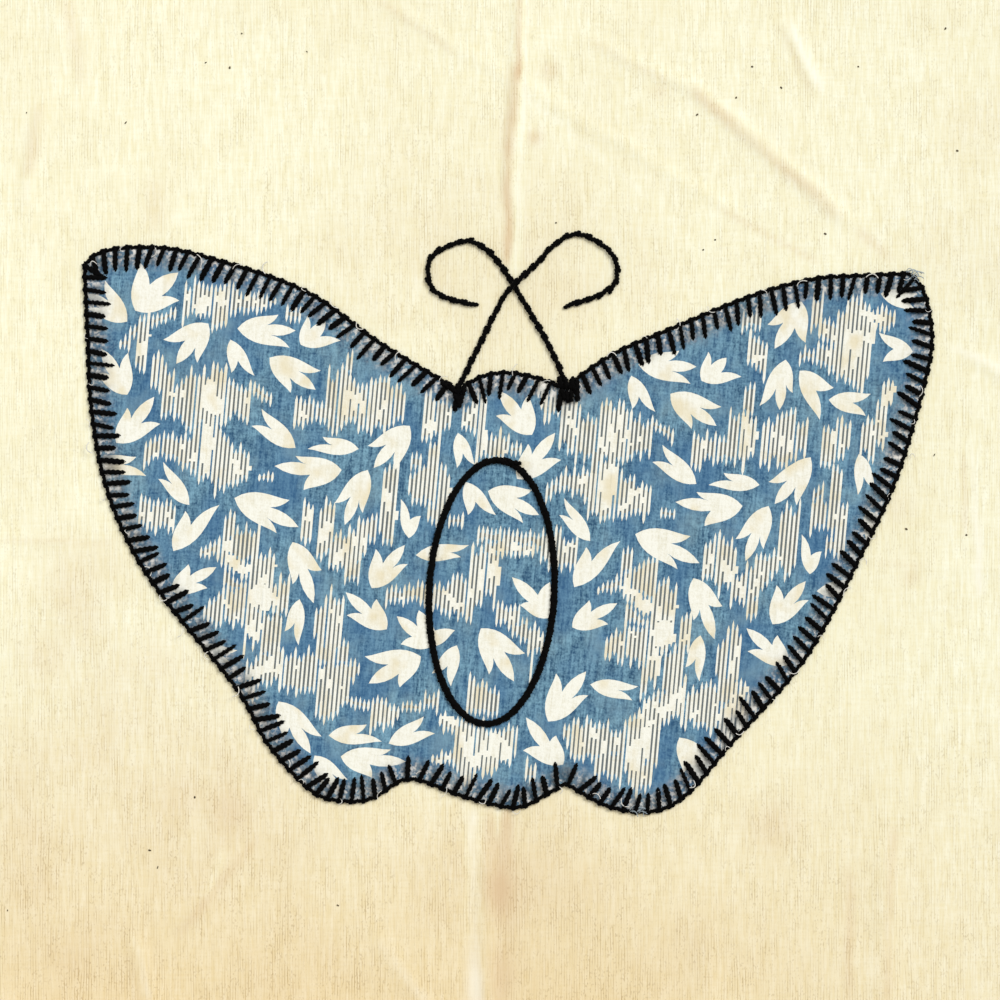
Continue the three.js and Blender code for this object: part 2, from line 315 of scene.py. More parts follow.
# Lines of dirt with painted shade, and of painted shade alone on the dark sides (tan above 0), and of painted
# highlight on raised, lit cloth (below 0), in chart units
Mark = namedtuple("Mark", "name x1 y1 x2 y2 width tan")
MARKS = (
    Mark("fold, top", 520, -20, 519, 90, 4, 0.85),
    Mark("fold, middle", 517, 56, 506, 168, 7, 0.6),
    Mark("fold, lower", 508, 134, 508, 272, 4.5, 0.75),
    Mark("lit side of the fold, painted highlight", 527, -20, 516, 284, 4, -0.5),
    Mark("fold below, dark side", 500, 806, 503, 1020, 13, 0.6),
    Mark("fold below, painted highlight on its lit side", 472, 800, 476, 1020, 9, -0.55),
    Mark("pucker below the tail", 498, 792, 497, 846, 4, -0.7),
    Mark("dark side of the pucker", 508, 792, 510, 870, 5, 0.5),
    Mark("slanting crease, upper", 585, 38, 672, 86, 4, 0.3),
    Mark("slanting crease", 686, 84, 846, 222, 6, 0.55),
    Mark("lit side of the slanting crease, painted highlight", 696, 78, 860, 214, 4, -0.15),
    Mark("slanting crease, end", 850, 224, 898, 266, 5, 0.35),
    Mark("slanting crease past the wing", 934, 338, 1020, 378, 4, -0.5),
    Mark("faint crease, upper", 372, -4, 462, 58, 3, 0.3),
    Mark("faint crease, lower", 712, 204, 826, 268, 3, 0.35),
    Mark("faint crease, painted highlight on its lit side", 520, 92, 660, 206, 3.5, -0.35),
    Mark("short ridge", 786, 14, 824, 98, 3.5, -0.95),
    Mark("short ridge, dark side", 778, 18, 815, 100, 4, 0.3),
    Mark("top left streak", 66, -10, 84, 92, 7, 0.35),
    Mark("top left crease", 42, 98, 26, 188, 6, 0.45),
    Mark("top left crease, painted highlight on its lit end", 30, 168, 26, 214, 3, -0.5),
    Mark("band above the left wing", 152, 172, 158, 240, 9, 0.3),
    Mark("cross fold, left", -10, 541, 122, 543, 3, 0.2),
    Mark("cross fold, right", 862, 563, 940, 566, 3, 0.2),
    Mark("right margin crease", 971, 440, 981, 604, 4, -0.6),
    Mark("right margin crease, dark side", 964, 446, 967, 540, 4, 0.4),
    Mark("bottom left crease", 262, 832, 172, 944, 5, 0.35),
    Mark("bottom left crease, painted highlight on its lit side", 226, 842, 206, 905, 5, -0.35),
    Mark("bottom left wave", 132, 926, 152, 1010, 4, -0.4),
    Mark("bottom wave", 372, 930, 432, 1010, 5, -0.3),
    Mark("bottom right wave", 850, 860, 848, 1010, 5, 0.4),
    Mark("bottom right wave, second", 893, 820, 886, 1010, 5, 0.35),
)
Stain = namedtuple("Stain", "x y size tan")
STAINS = (
    Stain(551, 72, 9, 0.5), Stain(535, 138, 8, 0.6), Stain(772, 826, 26, 0.45),
    Stain(222, 808, 26, 0.3), Stain(660, 92, 10, 0.3), Stain(90, 960, 60, 0.3),
    Stain(20, 860, 50, 0.3), Stain(300, 980, 60, 0.2), Stain(700, 960, 70, 0.15),
    Stain(980, 130, 40, 0.2), Stain(60, 640, 45, 0.2), Stain(430, 260, 130, 0.22),
    Stain(570, 300, 110, 0.2), Stain(130, 700, 110, 0.26), Stain(220, 800, 90, 0.2),
    Stain(970, 250, 70, 0.14), Stain(500, 870, 60, 0.22), Stain(40, 790, 80, 0.14),
    Stain(912, 577, 9, 0.35), Stain(897, 505, 16, 0.25), Stain(85, 575, 42, 0.3),
    Stain(545, 870, 75, 0.24), Stain(440, 880, 60, 0.16), Stain(215, 835, 80, 0.16),
)


def dirt_and_painted_light(xs, ys):
    """Tan tone of the muslin at points in metres: above 0 tanner, from stains, dirt and painted shade; below
    0 paler, a painted highlight.
    """
    chart_x = xs / CHART_UNIT + CHART_MIDDLE
    chart_y = CHART_MIDDLE - ys / CHART_UNIT
    wobble = MARK_WANDER * noise_field(xs, ys, MARK_WANDER_SIZE, 3.0)
    breaks = TONE_BREAK_SHARE + TONE_BREAK_UNEVENNESS * noise_field(xs, ys, TONE_BREAK_PATCH, 7.0)
    tone = np.zeros(len(xs))
    for mark in MARKS:
        along, across, length = line_places(chart_x, chart_y, mark)
        ends = smooth_step(along, 0, MARK_FADE) * smooth_step(length - along, 0, MARK_FADE)
        tone += mark.tan * ends * breaks * np.exp(-((across + wobble) / mark.width) ** 2)
    for stain in STAINS:
        distance = np.hypot(chart_x - stain.x, chart_y - stain.y)
        tone += stain.tan * breaks * np.exp(-(distance / stain.size) ** 2)
    return tone


print(len(MARKS), "marks and", len(STAINS), "stains")

# %% [markdown]
# ## The muslin sheet
# The top is a grid fine enough for the creases, closer together by the centre fold. Its cut edge wanders and
# lifts a little off the table, as a cut thread pulls. The underside is a coarser net of triangles that shares
# the grid's rim, so the sheet is closed without a Solidify modifier.

# %% Muslin top
MUSLIN_TOP = 0.5 * MM
GRID_STEP = 1.25 * MM
FOLD_STEP = 0.7 * MM
FOLD_HALF_WIDTH = 9 * MM
CUT_WANDER = 0.35 * MM
CUT_WANDER_SIZE = 30 * MM
CUT_WAVE = 48 * MM
CUT_LIFT = 1.1 * MM
CUT_LIFT_REACH = 16 * MM
Ripple = namedtuple("Ripple", "size height seed")
MUSLIN_RIPPLES = (Ripple(26 * MM, 0.12 * MM, 1.0), Ripple(8 * MM, 0.05 * MM, 5.0))

muslin_low, muslin_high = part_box("muslin_square")
half_side = (muslin_high.x - muslin_low.x) / 2


def even_lines(start, end, step):
    """Places from start to end, as near to a step apart as comes out even."""
    return np.linspace(start, end, max(2, round((end - start) / step) + 1))


def rippled(xs, ys, ripples):
    """The small unevenness that no cloth is without, at points in metres."""
    return sum(ripple.height * noise_field(xs, ys, ripple.size, ripple.seed) for ripple in ripples)


def muslin_lift(xs, ys):
    """How far the creases and the waving cut edge lift the muslin at points in metres."""
    inward = half_side - np.maximum(np.abs(xs), np.abs(ys))
    waves = np.maximum(0, noise_field(xs, ys, CUT_WAVE, 17.0))
    return crease_lift(xs, ys) + CUT_LIFT * waves * np.exp(-(inward / CUT_LIFT_REACH) ** 2)


columns = np.concatenate([
    even_lines(-half_side, -FOLD_HALF_WIDTH, GRID_STEP)[:-1],
    even_lines(-FOLD_HALF_WIDTH, FOLD_HALF_WIDTH, FOLD_STEP),
    even_lines(FOLD_HALF_WIDTH, half_side, GRID_STEP)[1:],
])
rows = even_lines(-half_side, half_side, GRID_STEP)
grid_x, grid_y = (part.ravel() for part in np.meshgrid(columns, rows))
on_cut = np.maximum(np.abs(grid_x), np.abs(grid_y)) > half_side - GRID_STEP / 9
wander = CUT_WANDER * noise_field(grid_x, grid_y, CUT_WANDER_SIZE, 11.0) * on_cut
grid_x = grid_x - wander * np.sign(grid_x)
grid_y = grid_y - wander * np.sign(grid_y)
grid_z = MUSLIN_TOP + muslin_lift(grid_x, grid_y) + rippled(grid_x, grid_y, MUSLIN_RIPPLES)
top_points = np.stack([grid_x, grid_y, grid_z], axis=1)
print("muslin top:", len(columns), "columns,", len(rows), "rows")

# %% Muslin underside and mesh
UNDERSIDE_STEP = 9 * MM

wide, deep = len(columns), len(rows)
top_faces = [
    (row * wide + col, row * wide + col + 1, (row + 1) * wide + col + 1, (row + 1) * wide + col)
    for row in range(deep - 1) for col in range(wide - 1)
]
rim = (
    list(range(wide - 1))
    + [row * wide + wide - 1 for row in range(deep - 1)]
    + [(deep - 1) * wide + col for col in range(wide - 1, 0, -1)]
    + [row * wide for row in range(deep - 1, 0, -1)]
)
inner = even_lines(-half_side + UNDERSIDE_STEP, half_side - UNDERSIDE_STEP, UNDERSIDE_STEP)
under_flat = [Vector(top_points[i][:2]) for i in rim] + [Vector((x, y)) for x in inner for y in inner]
under_net = delaunay_2d_cdt(under_flat, [], [list(range(len(rim)))], 1, 1e-9)
under_xy = np.array([list(point) for point in under_net[0]])
under_points = np.column_stack([under_xy, muslin_lift(*under_xy.T)])
first_under = len(top_points)
under_faces = [tuple(first_under + i for i in reversed(face)) for face in under_net[2]]
rim_faces = []
for place, here in enumerate(rim):
    after = (place + 1) % len(rim)
    rim_faces.append((first_under + place, first_under + after, rim[after], here))

muslin_points = np.concatenate([top_points, under_points]).tolist()
muslin = mesh_object("muslin_cloth", muslin_points, top_faces + under_faces + rim_faces)
smooth_faces = [True] * (len(top_faces) + len(under_faces)) + [False] * len(rim_faces)
muslin.data.polygons.foreach_set("use_smooth", smooth_faces)
# tone of stains and dirt, with the painted shade and painted highlight of the folds; none underneath
dirt = np.concatenate([dirt_and_painted_light(grid_x, grid_y), np.zeros(len(under_points))]).astype(np.float32)
muslin.data.attributes.new("dirt_and_painted_light", "FLOAT", "POINT").data.foreach_set("value", dirt)
print("muslin:", len(top_points), "points on top,", len(under_faces), "triangles under")

# %% [markdown]
# ## Muslin finish
# Muslin is a plain weave of undyed, uneven cotton: matt, cream, with thicker slubs here and there. In this
# cloth the upright threads show most, with broken gaps between them. Real threads are about 0.35 mm apart,
# too fine for the picture, so the weave is drawn 0.8 mm apart, as coarse as it needs to show. The tone of the
# folds and stains, dirt together with painted shade and painted highlight, was kept as an attribute on the
# sheet's
# points, so that the finish can read it: it tints the cloth, and it makes the gaps show more where it is
# darker. A painted shade also darkens and warms the cloth towards its bottom left, and shows the gaps more
# there.

# %% Muslin finish
THREAD_PITCH = 0.8 * MM
SLUB_LENGTH = 7 * MM
GAP_WANDER = 12.0
SHADE_MULTIPLY = {"data_type": "RGBA", "blend_type": "MULTIPLY"}


def thread_gaps(tree, place):
    """Thin upright gaps between threads, 0 to 1, wandering a little as hand-pulled cloth does."""
    across = add_node(tree, "ShaderNodeSeparateXYZ", None, (place,)).outputs["X"]
    wander = add_node(tree, "ShaderNodeMath", TIMES, (slubs(tree, place, 6 * MM, 30 * MM, 1.0), GAP_WANDER))
    turn = add_node(tree, "ShaderNodeMath", TIMES_PLUS, (across, 2 * math.pi / THREAD_PITCH, wander))
    wave = add_node(tree, "ShaderNodeMath", SINE, (turn,))
    return add_node(tree, "ShaderNodeMapRange", None, (wave, 0.2, 1, 0, 1))


def painted_shade_at_foot(tree, place):
    """Painted shade, 0 to 1: darker and warmer along the cloth's bottom, and most at the left."""
    axes = add_node(tree, "ShaderNodeSeparateXYZ", None, (place,)).outputs
    down = add_node(tree, "ShaderNodeMapRange", None, (axes["Y"], -50 * MM, -150 * MM, 0, 1))
    left = add_node(tree, "ShaderNodeMapRange", None, (axes["X"], 20 * MM, 150 * MM, 1, 0.5))
    return add_node(tree, "ShaderNodeMath", TIMES, (down, left))


def muslin_finish():
    """Unbleached cotton muslin: matt and cream, streaked by its threads, tan with dirt and stains, with
    painted shade and painted highlight along its folds and painted shade at its foot.
    """
    material, tree, place = new_finish("unbleached cotton muslin")
    upright = slubs(tree, place, THREAD_PITCH, SLUB_LENGTH)
    crosswise = slubs(tree, place, SLUB_LENGTH, THREAD_PITCH)
    threads = add_node(tree, "ShaderNodeMath", TIMES_PLUS, (crosswise, 0.4, upright))
    cloudy = slubs(tree, place, 38 * MM, 60 * MM, 3.0)
    patchy = slubs(tree, place, 4 * MM, 12 * MM)
    dirt_and_light_tone = add_node(tree, "ShaderNodeAttribute", {"attribute_name": "dirt_and_painted_light"}).outputs["Fac"]
    # painted shade: darker and warmer towards the bottom left
    foot_shade = painted_shade_at_foot(tree, place)
    # the gaps show more where the cloth is tanner from dirt and painted shade, and less under a painted
    # highlight
    gap_weight = add_node(tree, "ShaderNodeMath", TIMES_PLUS, (dirt_and_light_tone, 1.6, 0.8))
    gap_weight = add_node(tree, "ShaderNodeMath", TIMES_PLUS, (foot_shade, 0.45, gap_weight))
    shown = add_node(tree, "ShaderNodeMapRange", None, (patchy, 0.35, 0.7, 0.15, 0.65))
    shown = add_node(tree, "ShaderNodeMath", TIMES, (shown, gap_weight))
    dashes = slubs(tree, place, 1.0 * MM, 6 * MM, 1.0)
    dashes = add_node(tree, "ShaderNodeMapRange", None, (dashes, 0.4, 0.6, 0.1, 1.3))
    gaps = add_node(tree, "ShaderNodeMath", TIMES, (thread_gaps(tree, place), shown))
    gaps = add_node(tree, "ShaderNodeMath", TIMES, (gaps, dashes))
    pinholes = slubs(tree, place, 0.4 * MM, 0.8 * MM, 0.0)
    pinholes = add_node(tree, "ShaderNodeMapRange", None, (pinholes, 0.62, 0.74, 0, 0.55))
    pinholes = add_node(tree, "ShaderNodeMath", TIMES, (pinholes, shown))
    cream = tinted(tree, linear("#f5efca"), [
        Tint(threads, 0.45, 0.95, 1, "#ffffe8"), Tint(cloudy, 0.45, 0.7, 0.3, "#f0e7c3"),
        Tint(gaps, 0, 1, 1, "#d5c89e"), Tint(pinholes, 0, 1, 1, "#bdae88"),
    ])
    # painted shade, multiplied in: darker and warmer towards the bottom left
    cream = add_node(tree, "ShaderNodeMix", SHADE_MULTIPLY, (foot_shade, cream, linear("#f5e5d3")))
    # tan from stains, dirt and painted shade; paler under a painted highlight
    colour = tinted(tree, cream, [
        Tint(dirt_and_light_tone, 0, 1, 0.85, "#dcbf98"), Tint(dirt_and_light_tone, 0, -1, 0.9, "#fffef4"),
    ])
    relief = add_node(tree, "ShaderNodeBump", None, {
        "Height": threads, "Distance": 0.2 * MM, "Strength": 0.35,
    })
    end_finish(tree, colour, 0.92, relief)
    return material


muslin.data.materials.append(muslin_finish())
print("finish:", muslin.data.materials[0].name)

# %% [markdown]
# ## The butterfly's outline
# The patch was cut round a paper shape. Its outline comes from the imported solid: the rim of its top face,
# made smooth again between the sharp corners by a curve through its points, so both models keep one shape.

# %% Butterfly outline
CORNER_TURN = math.radians(38)
OUTLINE_STEP = 1.2 * MM


def top_rim(node):
    """The rim of a flat-topped solid's top face, as an anticlockwise loop of points."""
    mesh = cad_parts[node].data
    places = [tuple(round(value, 7) for value in corner.co) for corner in mesh.vertices]
    top = max(place[2] for place in places)
    sides = set()
    for face in mesh.polygons:
        corners = [places[i] for i in face.vertices]
        if all(top - corner[2] < MM / 100 for corner in corners):
            sides.update(zip(corners, corners[1:] + corners[:1]))
    following = {start[:2]: end[:2] for start, end in sides if (end, start) not in sides}
    loop = [next(iter(sorted(following)))]
    while following[loop[-1]] != loop[0]:
        loop.append(following[loop[-1]])
    return np.array(loop)


def smooth_run(points, step):
    """Evenly spaced points on a smooth curve through the given ones, without the last."""
    ends = np.concatenate([[2 * points[0] - points[1]], points, [2 * points[-1] - points[-2]]])
    share = np.linspace(0, 1, 12, endpoint=False)[:, None]
    dense = []
    for a, b, c, d in zip(ends, ends[1:], ends[2:], ends[3:]):
        dense.append(0.5 * (2 * b + (c - a) * share + (2 * a - 5 * b + 4 * c - d) * share ** 2
                            + (3 * b - a - 3 * c + d) * share ** 3))
    dense = np.concatenate([*dense, points[-1:]])
    lengths = np.concatenate([[0], np.cumsum(np.linalg.norm(np.diff(dense, axis=0), axis=1))])
    places = np.linspace(0, lengths[-1], max(2, round(lengths[-1] / step)) + 1)[:-1]
    return np.column_stack([np.interp(places, lengths, dense[:, axis]) for axis in (0, 1)])


def smooth_outline(loop, step):
    """A closed outline, smooth between its sharp corners."""
    before = loop - np.roll(loop, 1, axis=0)
    after = np.roll(loop, -1, axis=0) - loop
    turn = np.arctan2(before[:, 0] * after[:, 1] - before[:, 1] * after[:, 0], (before * after).sum(1))
    corners = np.flatnonzero(np.abs(turn) > CORNER_TURN)
    loop = np.roll(loop, -corners[0], axis=0)
    corners = [*(corners - corners[0]), len(loop)]
    closed = np.concatenate([loop, loop[:1]])
    return np.concatenate([smooth_run(closed[a:b + 1], step) for a, b in zip(corners, corners[1:])])


outline = smooth_outline(top_rim("butterfly_patch"), OUTLINE_STEP)
outline_length = np.linalg.norm(np.roll(outline, -1, axis=0) - outline, axis=1).sum()
print("butterfly outline:", len(outline), "points,", round(outline_length / MM), "mm round")

# %% [markdown]
# ## The print's chart
# The cotton is printed with small white leaves of two to four lobes on a blue ground, and with white patches
# whose edges are combed out into upright strokes. The print repeats across the cloth, so what falls in one
# repeat is charted once, with the repeats in which it shows: a leaf by its stem end and the tips of its
# lobes, and a patch by short bands.

# %% Leaves
REPEAT = (400, 36)
ONCE = (0,)
BOTH = (0, 1)
BACK = (-1, 0)
Leaf = namedtuple("Leaf", "stem lobes repeats")
LEAVES = (
    Leaf((128, 322), ((106, 281), (87, 294), (88, 309)), ONCE),
    Leaf((136, 311), ((141, 263), (179, 273), (180, 301)), ONCE),
    Leaf((209, 324), ((164, 340), (177, 364), (198, 363)), ONCE),
    Leaf((231, 340), ((232, 373), (255, 376)), BOTH),
    Leaf((238, 329), ((279, 315), (296, 331), (290, 348)), BOTH),
    Leaf((301, 345), ((308, 316), (326, 322), (341, 341)), BOTH),
    Leaf((270, 358), ((321, 371), (316, 390), (291, 393)), BOTH),
    Leaf((128, 395), ((129, 353), (102, 349), (96, 374)), ONCE),
    Leaf((117, 443), ((128, 408), (155, 397), (161, 424)), BOTH),
    Leaf((97, 462), ((137, 457), (147, 476)), ONCE),
    Leaf((190, 505), ((164, 462), (159, 479)), BOTH),
    Leaf((174, 551), ((186, 511), (220, 505)), BOTH),
    Leaf((235, 498), ((290, 500), (299, 527), (277, 533)), BOTH),
    Leaf((296, 448), ((252, 426), (262, 409)), BOTH),
    Leaf((359, 449), ((323, 437), (308, 449)), BOTH),
    Leaf((342, 470), ((296, 456), (275, 466), (304, 490)), BOTH),
    Leaf((410, 426), ((368, 446), (374, 468), (396, 470)), BOTH),
    Leaf((368, 470), ((335, 503), (345, 525), (363, 513)), BOTH),
    Leaf((409, 538), ((401, 499), (421, 516)), BOTH),
    Leaf((458, 433), ((457, 468), (475, 465)), BOTH),
    Leaf((466, 482), ((496, 515), (468, 515)), BOTH),
    Leaf((488, 491), ((532, 490), (539, 515), (523, 523)), ONCE),
    Leaf((532, 435), ((496, 416), (499, 391), (529, 395)), ONCE),
    Leaf((172, 591), ((189, 564), (217, 567), (208, 588)), BOTH),
    Leaf((293, 542), ((322, 570), (314, 603), (293, 584)), BOTH),
    Leaf((300, 599), ((285, 631), (299, 645)), BOTH),
    Leaf((372, 588), ((376, 549), (405, 545), (408, 564)), BOTH),
    Leaf((416, 555), ((469, 545), (461, 557)), BOTH),
    Leaf((387, 629), ((347, 615), (346, 592), (377, 599)), BOTH),
    Leaf((432, 646), ((401, 644), (397, 616), (419, 610), (455, 630)), BOTH),
    Leaf((421, 656), ((365, 656), (369, 683), (400, 687)), ONCE),
    Leaf((457, 645), ((451, 686), (432, 673)), ONCE),
    Leaf((548, 618), ((520, 605), (512, 577), (550, 582)), ONCE),
    Leaf((481, 628), ((525, 653), (514, 681), (489, 674)), ONCE),
    Leaf((279, 701), ((322, 736), (311, 753), (283, 736)), BOTH),
    Leaf((329, 735), ((367, 724), (382, 741)), ONCE),
    Leaf((389, 743), ((424, 716), (435, 733)), ONCE),
    Leaf((341, 756), ((391, 749), (406, 761), (372, 777)), ONCE),
    Leaf((315, 755), ((348, 779), (340, 792), (322, 784)), ONCE),
    Leaf((548, 721), ((556, 673), (586, 671), (588, 695)), ONCE),
    Leaf((590, 684), ((638, 686), (632, 700)), BACK),
    Leaf((563, 764), ((523, 750), (526, 717), (556, 735)), ONCE),
    Leaf((801, 302), ((767, 325), (774, 349), (805, 343)), ONCE),
    Leaf((785, 360), ((759, 406), (779, 410), (792, 393)), ONCE),
    Leaf((799, 371), ((833, 388), (819, 420)), ONCE),
    Leaf((828, 400), ((870, 394), (865, 416)), ONCE),
    Leaf((912, 352), ((882, 362), (878, 333)), ONCE),
    Leaf((880, 294), ((916, 294), (915, 312)), ONCE),
)
print(len(LEAVES), "leaves charted")

# %% Combed bands
# A combed band runs from one upright edge to another; solid is how much of it is white without gaps
Band = namedtuple("Band", "x1 top1 bottom1 x2 top2 bottom2 solid repeats")
BANDS = (
    # under the left wing's upper edge
    Band(184, 288, 321, 190, 284, 320, 0.30, ONCE), Band(190, 282, 319, 212, 282, 316, 0.60, ONCE),
    Band(212, 283, 324, 230, 287, 321, 0.55, ONCE), Band(230, 288, 315, 268, 294, 310, 0.40, ONCE),
    Band(268, 296, 309, 279, 299, 305, 0.00, ONCE), Band(284, 300, 321, 302, 310, 323, 0.10, ONCE),
    # down the left margin
    Band(121, 339, 350, 134, 332, 350, 0.25, ONCE), Band(134, 328, 360, 150, 322, 381, 0.50, BOTH),
    Band(150, 319, 330, 176, 307, 319, 0.00, ONCE), Band(150, 347, 381, 162, 362, 384, 0.20, BOTH),
    Band(127, 327, 346, 148, 314, 336, 0.15, ONCE), Band(158, 356, 394, 172, 374, 402, 0.30, BOTH),
    Band(139, 498, 522, 153, 497, 530, 0.40, BOTH), Band(153, 497, 530, 177, 503, 534, 0.35, BOTH),
    # the forked patch
    Band(161, 371, 408, 176, 364, 413, 0.35, BOTH), Band(176, 380, 421, 198, 376, 424, 0.30, BOTH),
    Band(198, 374, 427, 225, 376, 424, 0.75, BOTH), Band(225, 379, 420, 251, 388, 417, 0.30, BOTH),
    Band(251, 380, 393, 275, 396, 409, 0.00, BOTH), Band(190, 418, 470, 199, 420, 476, 0.20, BOTH),
    Band(198, 420, 482, 213, 420, 484, 0.80, BOTH), Band(213, 422, 484, 219, 430, 486, 0.10, BOTH),
    Band(145, 447, 468, 160, 435, 458, 0.25, BOTH), Band(160, 435, 453, 197, 434, 470, 0.35, BOTH),
    Band(216, 436, 485, 252, 456, 479, 0.45, BOTH), Band(258, 473, 481, 276, 472, 482, 0.00, BOTH),
    # above the long leaves
    Band(292, 397, 432, 317, 401, 424, 0.35, BOTH), Band(317, 402, 424, 334, 404, 422, 0.35, BOTH),
    Band(327, 375, 420, 338, 374, 424, 0.15, BOTH), Band(338, 374, 426, 358, 380, 424, 0.65, BOTH),
    Band(344, 352, 378, 354, 350, 380, 0.00, BOTH), Band(358, 388, 434, 368, 386, 434, 0.40, BOTH),
    Band(368, 384, 427, 394, 383, 425, 0.40, BOTH), Band(394, 388, 425, 408, 393, 420, 0.20, BOTH),
    # down the middle
    Band(421, 400, 438, 436, 398, 442, 0.50, BOTH), Band(436, 399, 436, 451, 404, 430, 0.35, BOTH),
    Band(428, 438, 504, 440, 438, 504, 0.30, BOTH), Band(408, 470, 498, 428, 466, 502, 0.25, BOTH),
    Band(411, 454, 472, 422, 454, 470, 0.00, BOTH), Band(436, 468, 516, 449, 474, 514, 0.35, BOTH),
    Band(425, 500, 520, 443, 506, 524, 0.00, BOTH),
    # under the head
    Band(459, 406, 432, 478, 400, 440, 0.25, BOTH), Band(478, 388, 462, 488, 396, 464, 0.45, ONCE),
    Band(485, 432, 458, 510, 433, 457, 0.40, ONCE), Band(510, 442, 456, 524, 443, 455, 0.00, ONCE),
    # the bowl between the leaves
    Band(378, 482, 538, 398, 470, 537, 0.45, BOTH), Band(355, 520, 542, 378, 512, 540, 0.25, BOTH),
    Band(301, 507, 536, 316, 500, 542, 0.40, BOTH), Band(316, 502, 550, 336, 513, 556, 0.50, BOTH),
    Band(330, 540, 567, 348, 532, 570, 0.55, BOTH), Band(347, 530, 572, 367, 528, 554, 0.45, BOTH),
    Band(346, 560, 580, 360, 556, 582, 0.10, BOTH),
    # the crossed patch
    Band(222, 514, 540, 235, 514, 540, 0.00, BOTH), Band(198, 551, 558, 222, 536, 557, 0.35, BOTH),
    Band(222, 531, 560, 231, 530, 562, 0.65, BOTH), Band(231, 530, 562, 259, 527, 560, 0.10, BOTH),
    Band(226, 548, 566, 250, 562, 582, 0.85, BOTH), Band(249, 554, 600, 276, 551, 600, 0.40, BOTH),
    Band(246, 580, 616, 276, 584, 612, 0.85, BOTH), Band(276, 582, 621, 289, 582, 614, 0.35, BOTH),
    Band(204, 606, 621, 224, 588, 623, 0.35, BOTH), Band(222, 562, 590, 246, 585, 590, 0.00, BOTH),
    Band(224, 588, 624, 247, 584, 626, 0.40, BOTH), Band(246, 606, 640, 260, 606, 648, 0.65, BOTH),
    Band(260, 612, 660, 282, 612, 660, 0.15, BOTH), Band(241, 628, 660, 248, 626, 662, 0.00, BOTH),
    # along the lower left edge
    Band(243, 664, 683, 260, 656, 684, 0.60, BOTH), Band(260, 654, 683, 283, 645, 684, 0.60, BOTH),
    Band(246, 682, 700, 257, 680, 700, 0.00, BOTH), Band(283, 655, 686, 319, 651, 696, 0.30, BOTH),
    Band(314, 606, 640, 326, 596, 652, 0.25, BOTH), Band(326, 588, 654, 342, 598, 650, 0.40, BOTH),
    Band(317, 640, 666, 337, 640, 668, 0.20, BOTH), Band(337, 641, 668, 348, 641, 668, 0.50, BOTH),
    Band(319, 661, 708, 350, 659, 706, 0.45, BOTH), Band(321, 695, 720, 338, 692, 716, 0.10, BOTH),
    Band(348, 658, 686, 362, 661, 674, 0.00, BOTH), Band(341, 694, 704, 370, 699, 712, 0.35, ONCE),
    Band(369, 698, 732, 399, 704, 722, 0.30, ONCE), Band(399, 702, 712, 421, 702, 712, 0.00, ONCE),
    Band(383, 588, 606, 428, 582, 603, 0.30, ONCE),
    # the foot of the body
    Band(423, 690, 708, 441, 694, 714, 0.25, ONCE), Band(437, 710, 724, 458, 716, 740, 0.50, ONCE),
    Band(455, 716, 774, 474, 724, 776, 0.60, ONCE), Band(474, 726, 774, 512, 731, 764, 0.70, ONCE),
    Band(430, 755, 764, 455, 746, 764, 0.40, ONCE), Band(512, 726, 752, 520, 730, 752, 0.00, ONCE),
    Band(522, 758, 780, 538, 766, 780, 0.20, ONCE), Band(466, 678, 716, 500, 694, 716, 0.10, ONCE),
    # in the oval
    Band(446, 513, 527, 463, 513, 527, 0.20, ONCE), Band(478, 527, 545, 502, 528, 546, 0.25, ONCE),
    Band(483, 536, 556, 534, 540, 558, 0.55, ONCE), Band(502, 530, 548, 546, 532, 550, 0.00, ONCE),
    Band(484, 552, 602, 498, 550, 600, 0.55, ONCE), Band(468, 556, 620, 486, 556, 604, 0.55, ONCE),
    Band(434, 586, 609, 468, 576, 622, 0.45, ONCE), Band(495, 600, 626, 519, 608, 627, 0.40, ONCE),
    Band(509, 616, 634, 541, 628, 650, 0.05, ONCE), Band(528, 630, 658, 546, 634, 652, 0.40, ONCE),
    Band(527, 655, 692, 533, 655, 690, 0.00, ONCE),
    # the foot of the right wing
    Band(563, 722, 734, 572, 719, 752, 0.20, ONCE), Band(571, 720, 755, 624, 727, 761, 0.40, ONCE),
    Band(594, 748, 774, 624, 750, 782, 0.00, ONCE), Band(624, 723, 776, 648, 710, 792, 0.65, ONCE),
    Band(636, 706, 738, 668, 696, 722, 0.60, ONCE), Band(648, 716, 768, 660, 716, 766, 0.10, ONCE),
    Band(629, 756, 786, 653, 756, 786, 0.40, ONCE),
    # under the right wing's upper edge
    Band(744, 331, 366, 766, 350, 378, 0.40, ONCE), Band(742, 312, 332, 760, 308, 330, 0.10, ONCE),
    Band(809, 297, 327, 821, 297, 328, 0.10, ONCE), Band(816, 318, 338, 837, 324, 350, 0.40, ONCE),
    Band(797, 350, 365, 816, 346, 362, 0.10, ONCE), Band(813, 345, 365, 837, 340, 373, 0.40, ONCE),
    Band(835, 323, 378, 857, 300, 384, 0.70, ONCE), Band(843, 296, 320, 857, 296, 318, 0.00, ONCE),
    Band(856, 300, 384, 872, 312, 384, 0.40, ONCE), Band(857, 304, 324, 884, 313, 328, 0.65, ONCE),
    Band(878, 306, 330, 897, 308, 330, 0.00, ONCE), Band(878, 381, 416, 894, 381, 406, 0.55, ONCE),
    Band(873, 404, 452, 886, 410, 450, 0.45, ONCE),
)
print(len(BANDS), "combed bands charted")

# %% [markdown]
# ## Drawing the print
# A leaf is pointed at its stem, round at its sides and slit between its lobes. A combed band is a row of
# thin upright strokes, all leaning one way with the cloth's grain, and the gaps between the strokes close up
# to plain white along a wandering core. The cloth is pulled up a little at the right wing's tip, so its
# repeat rises there.

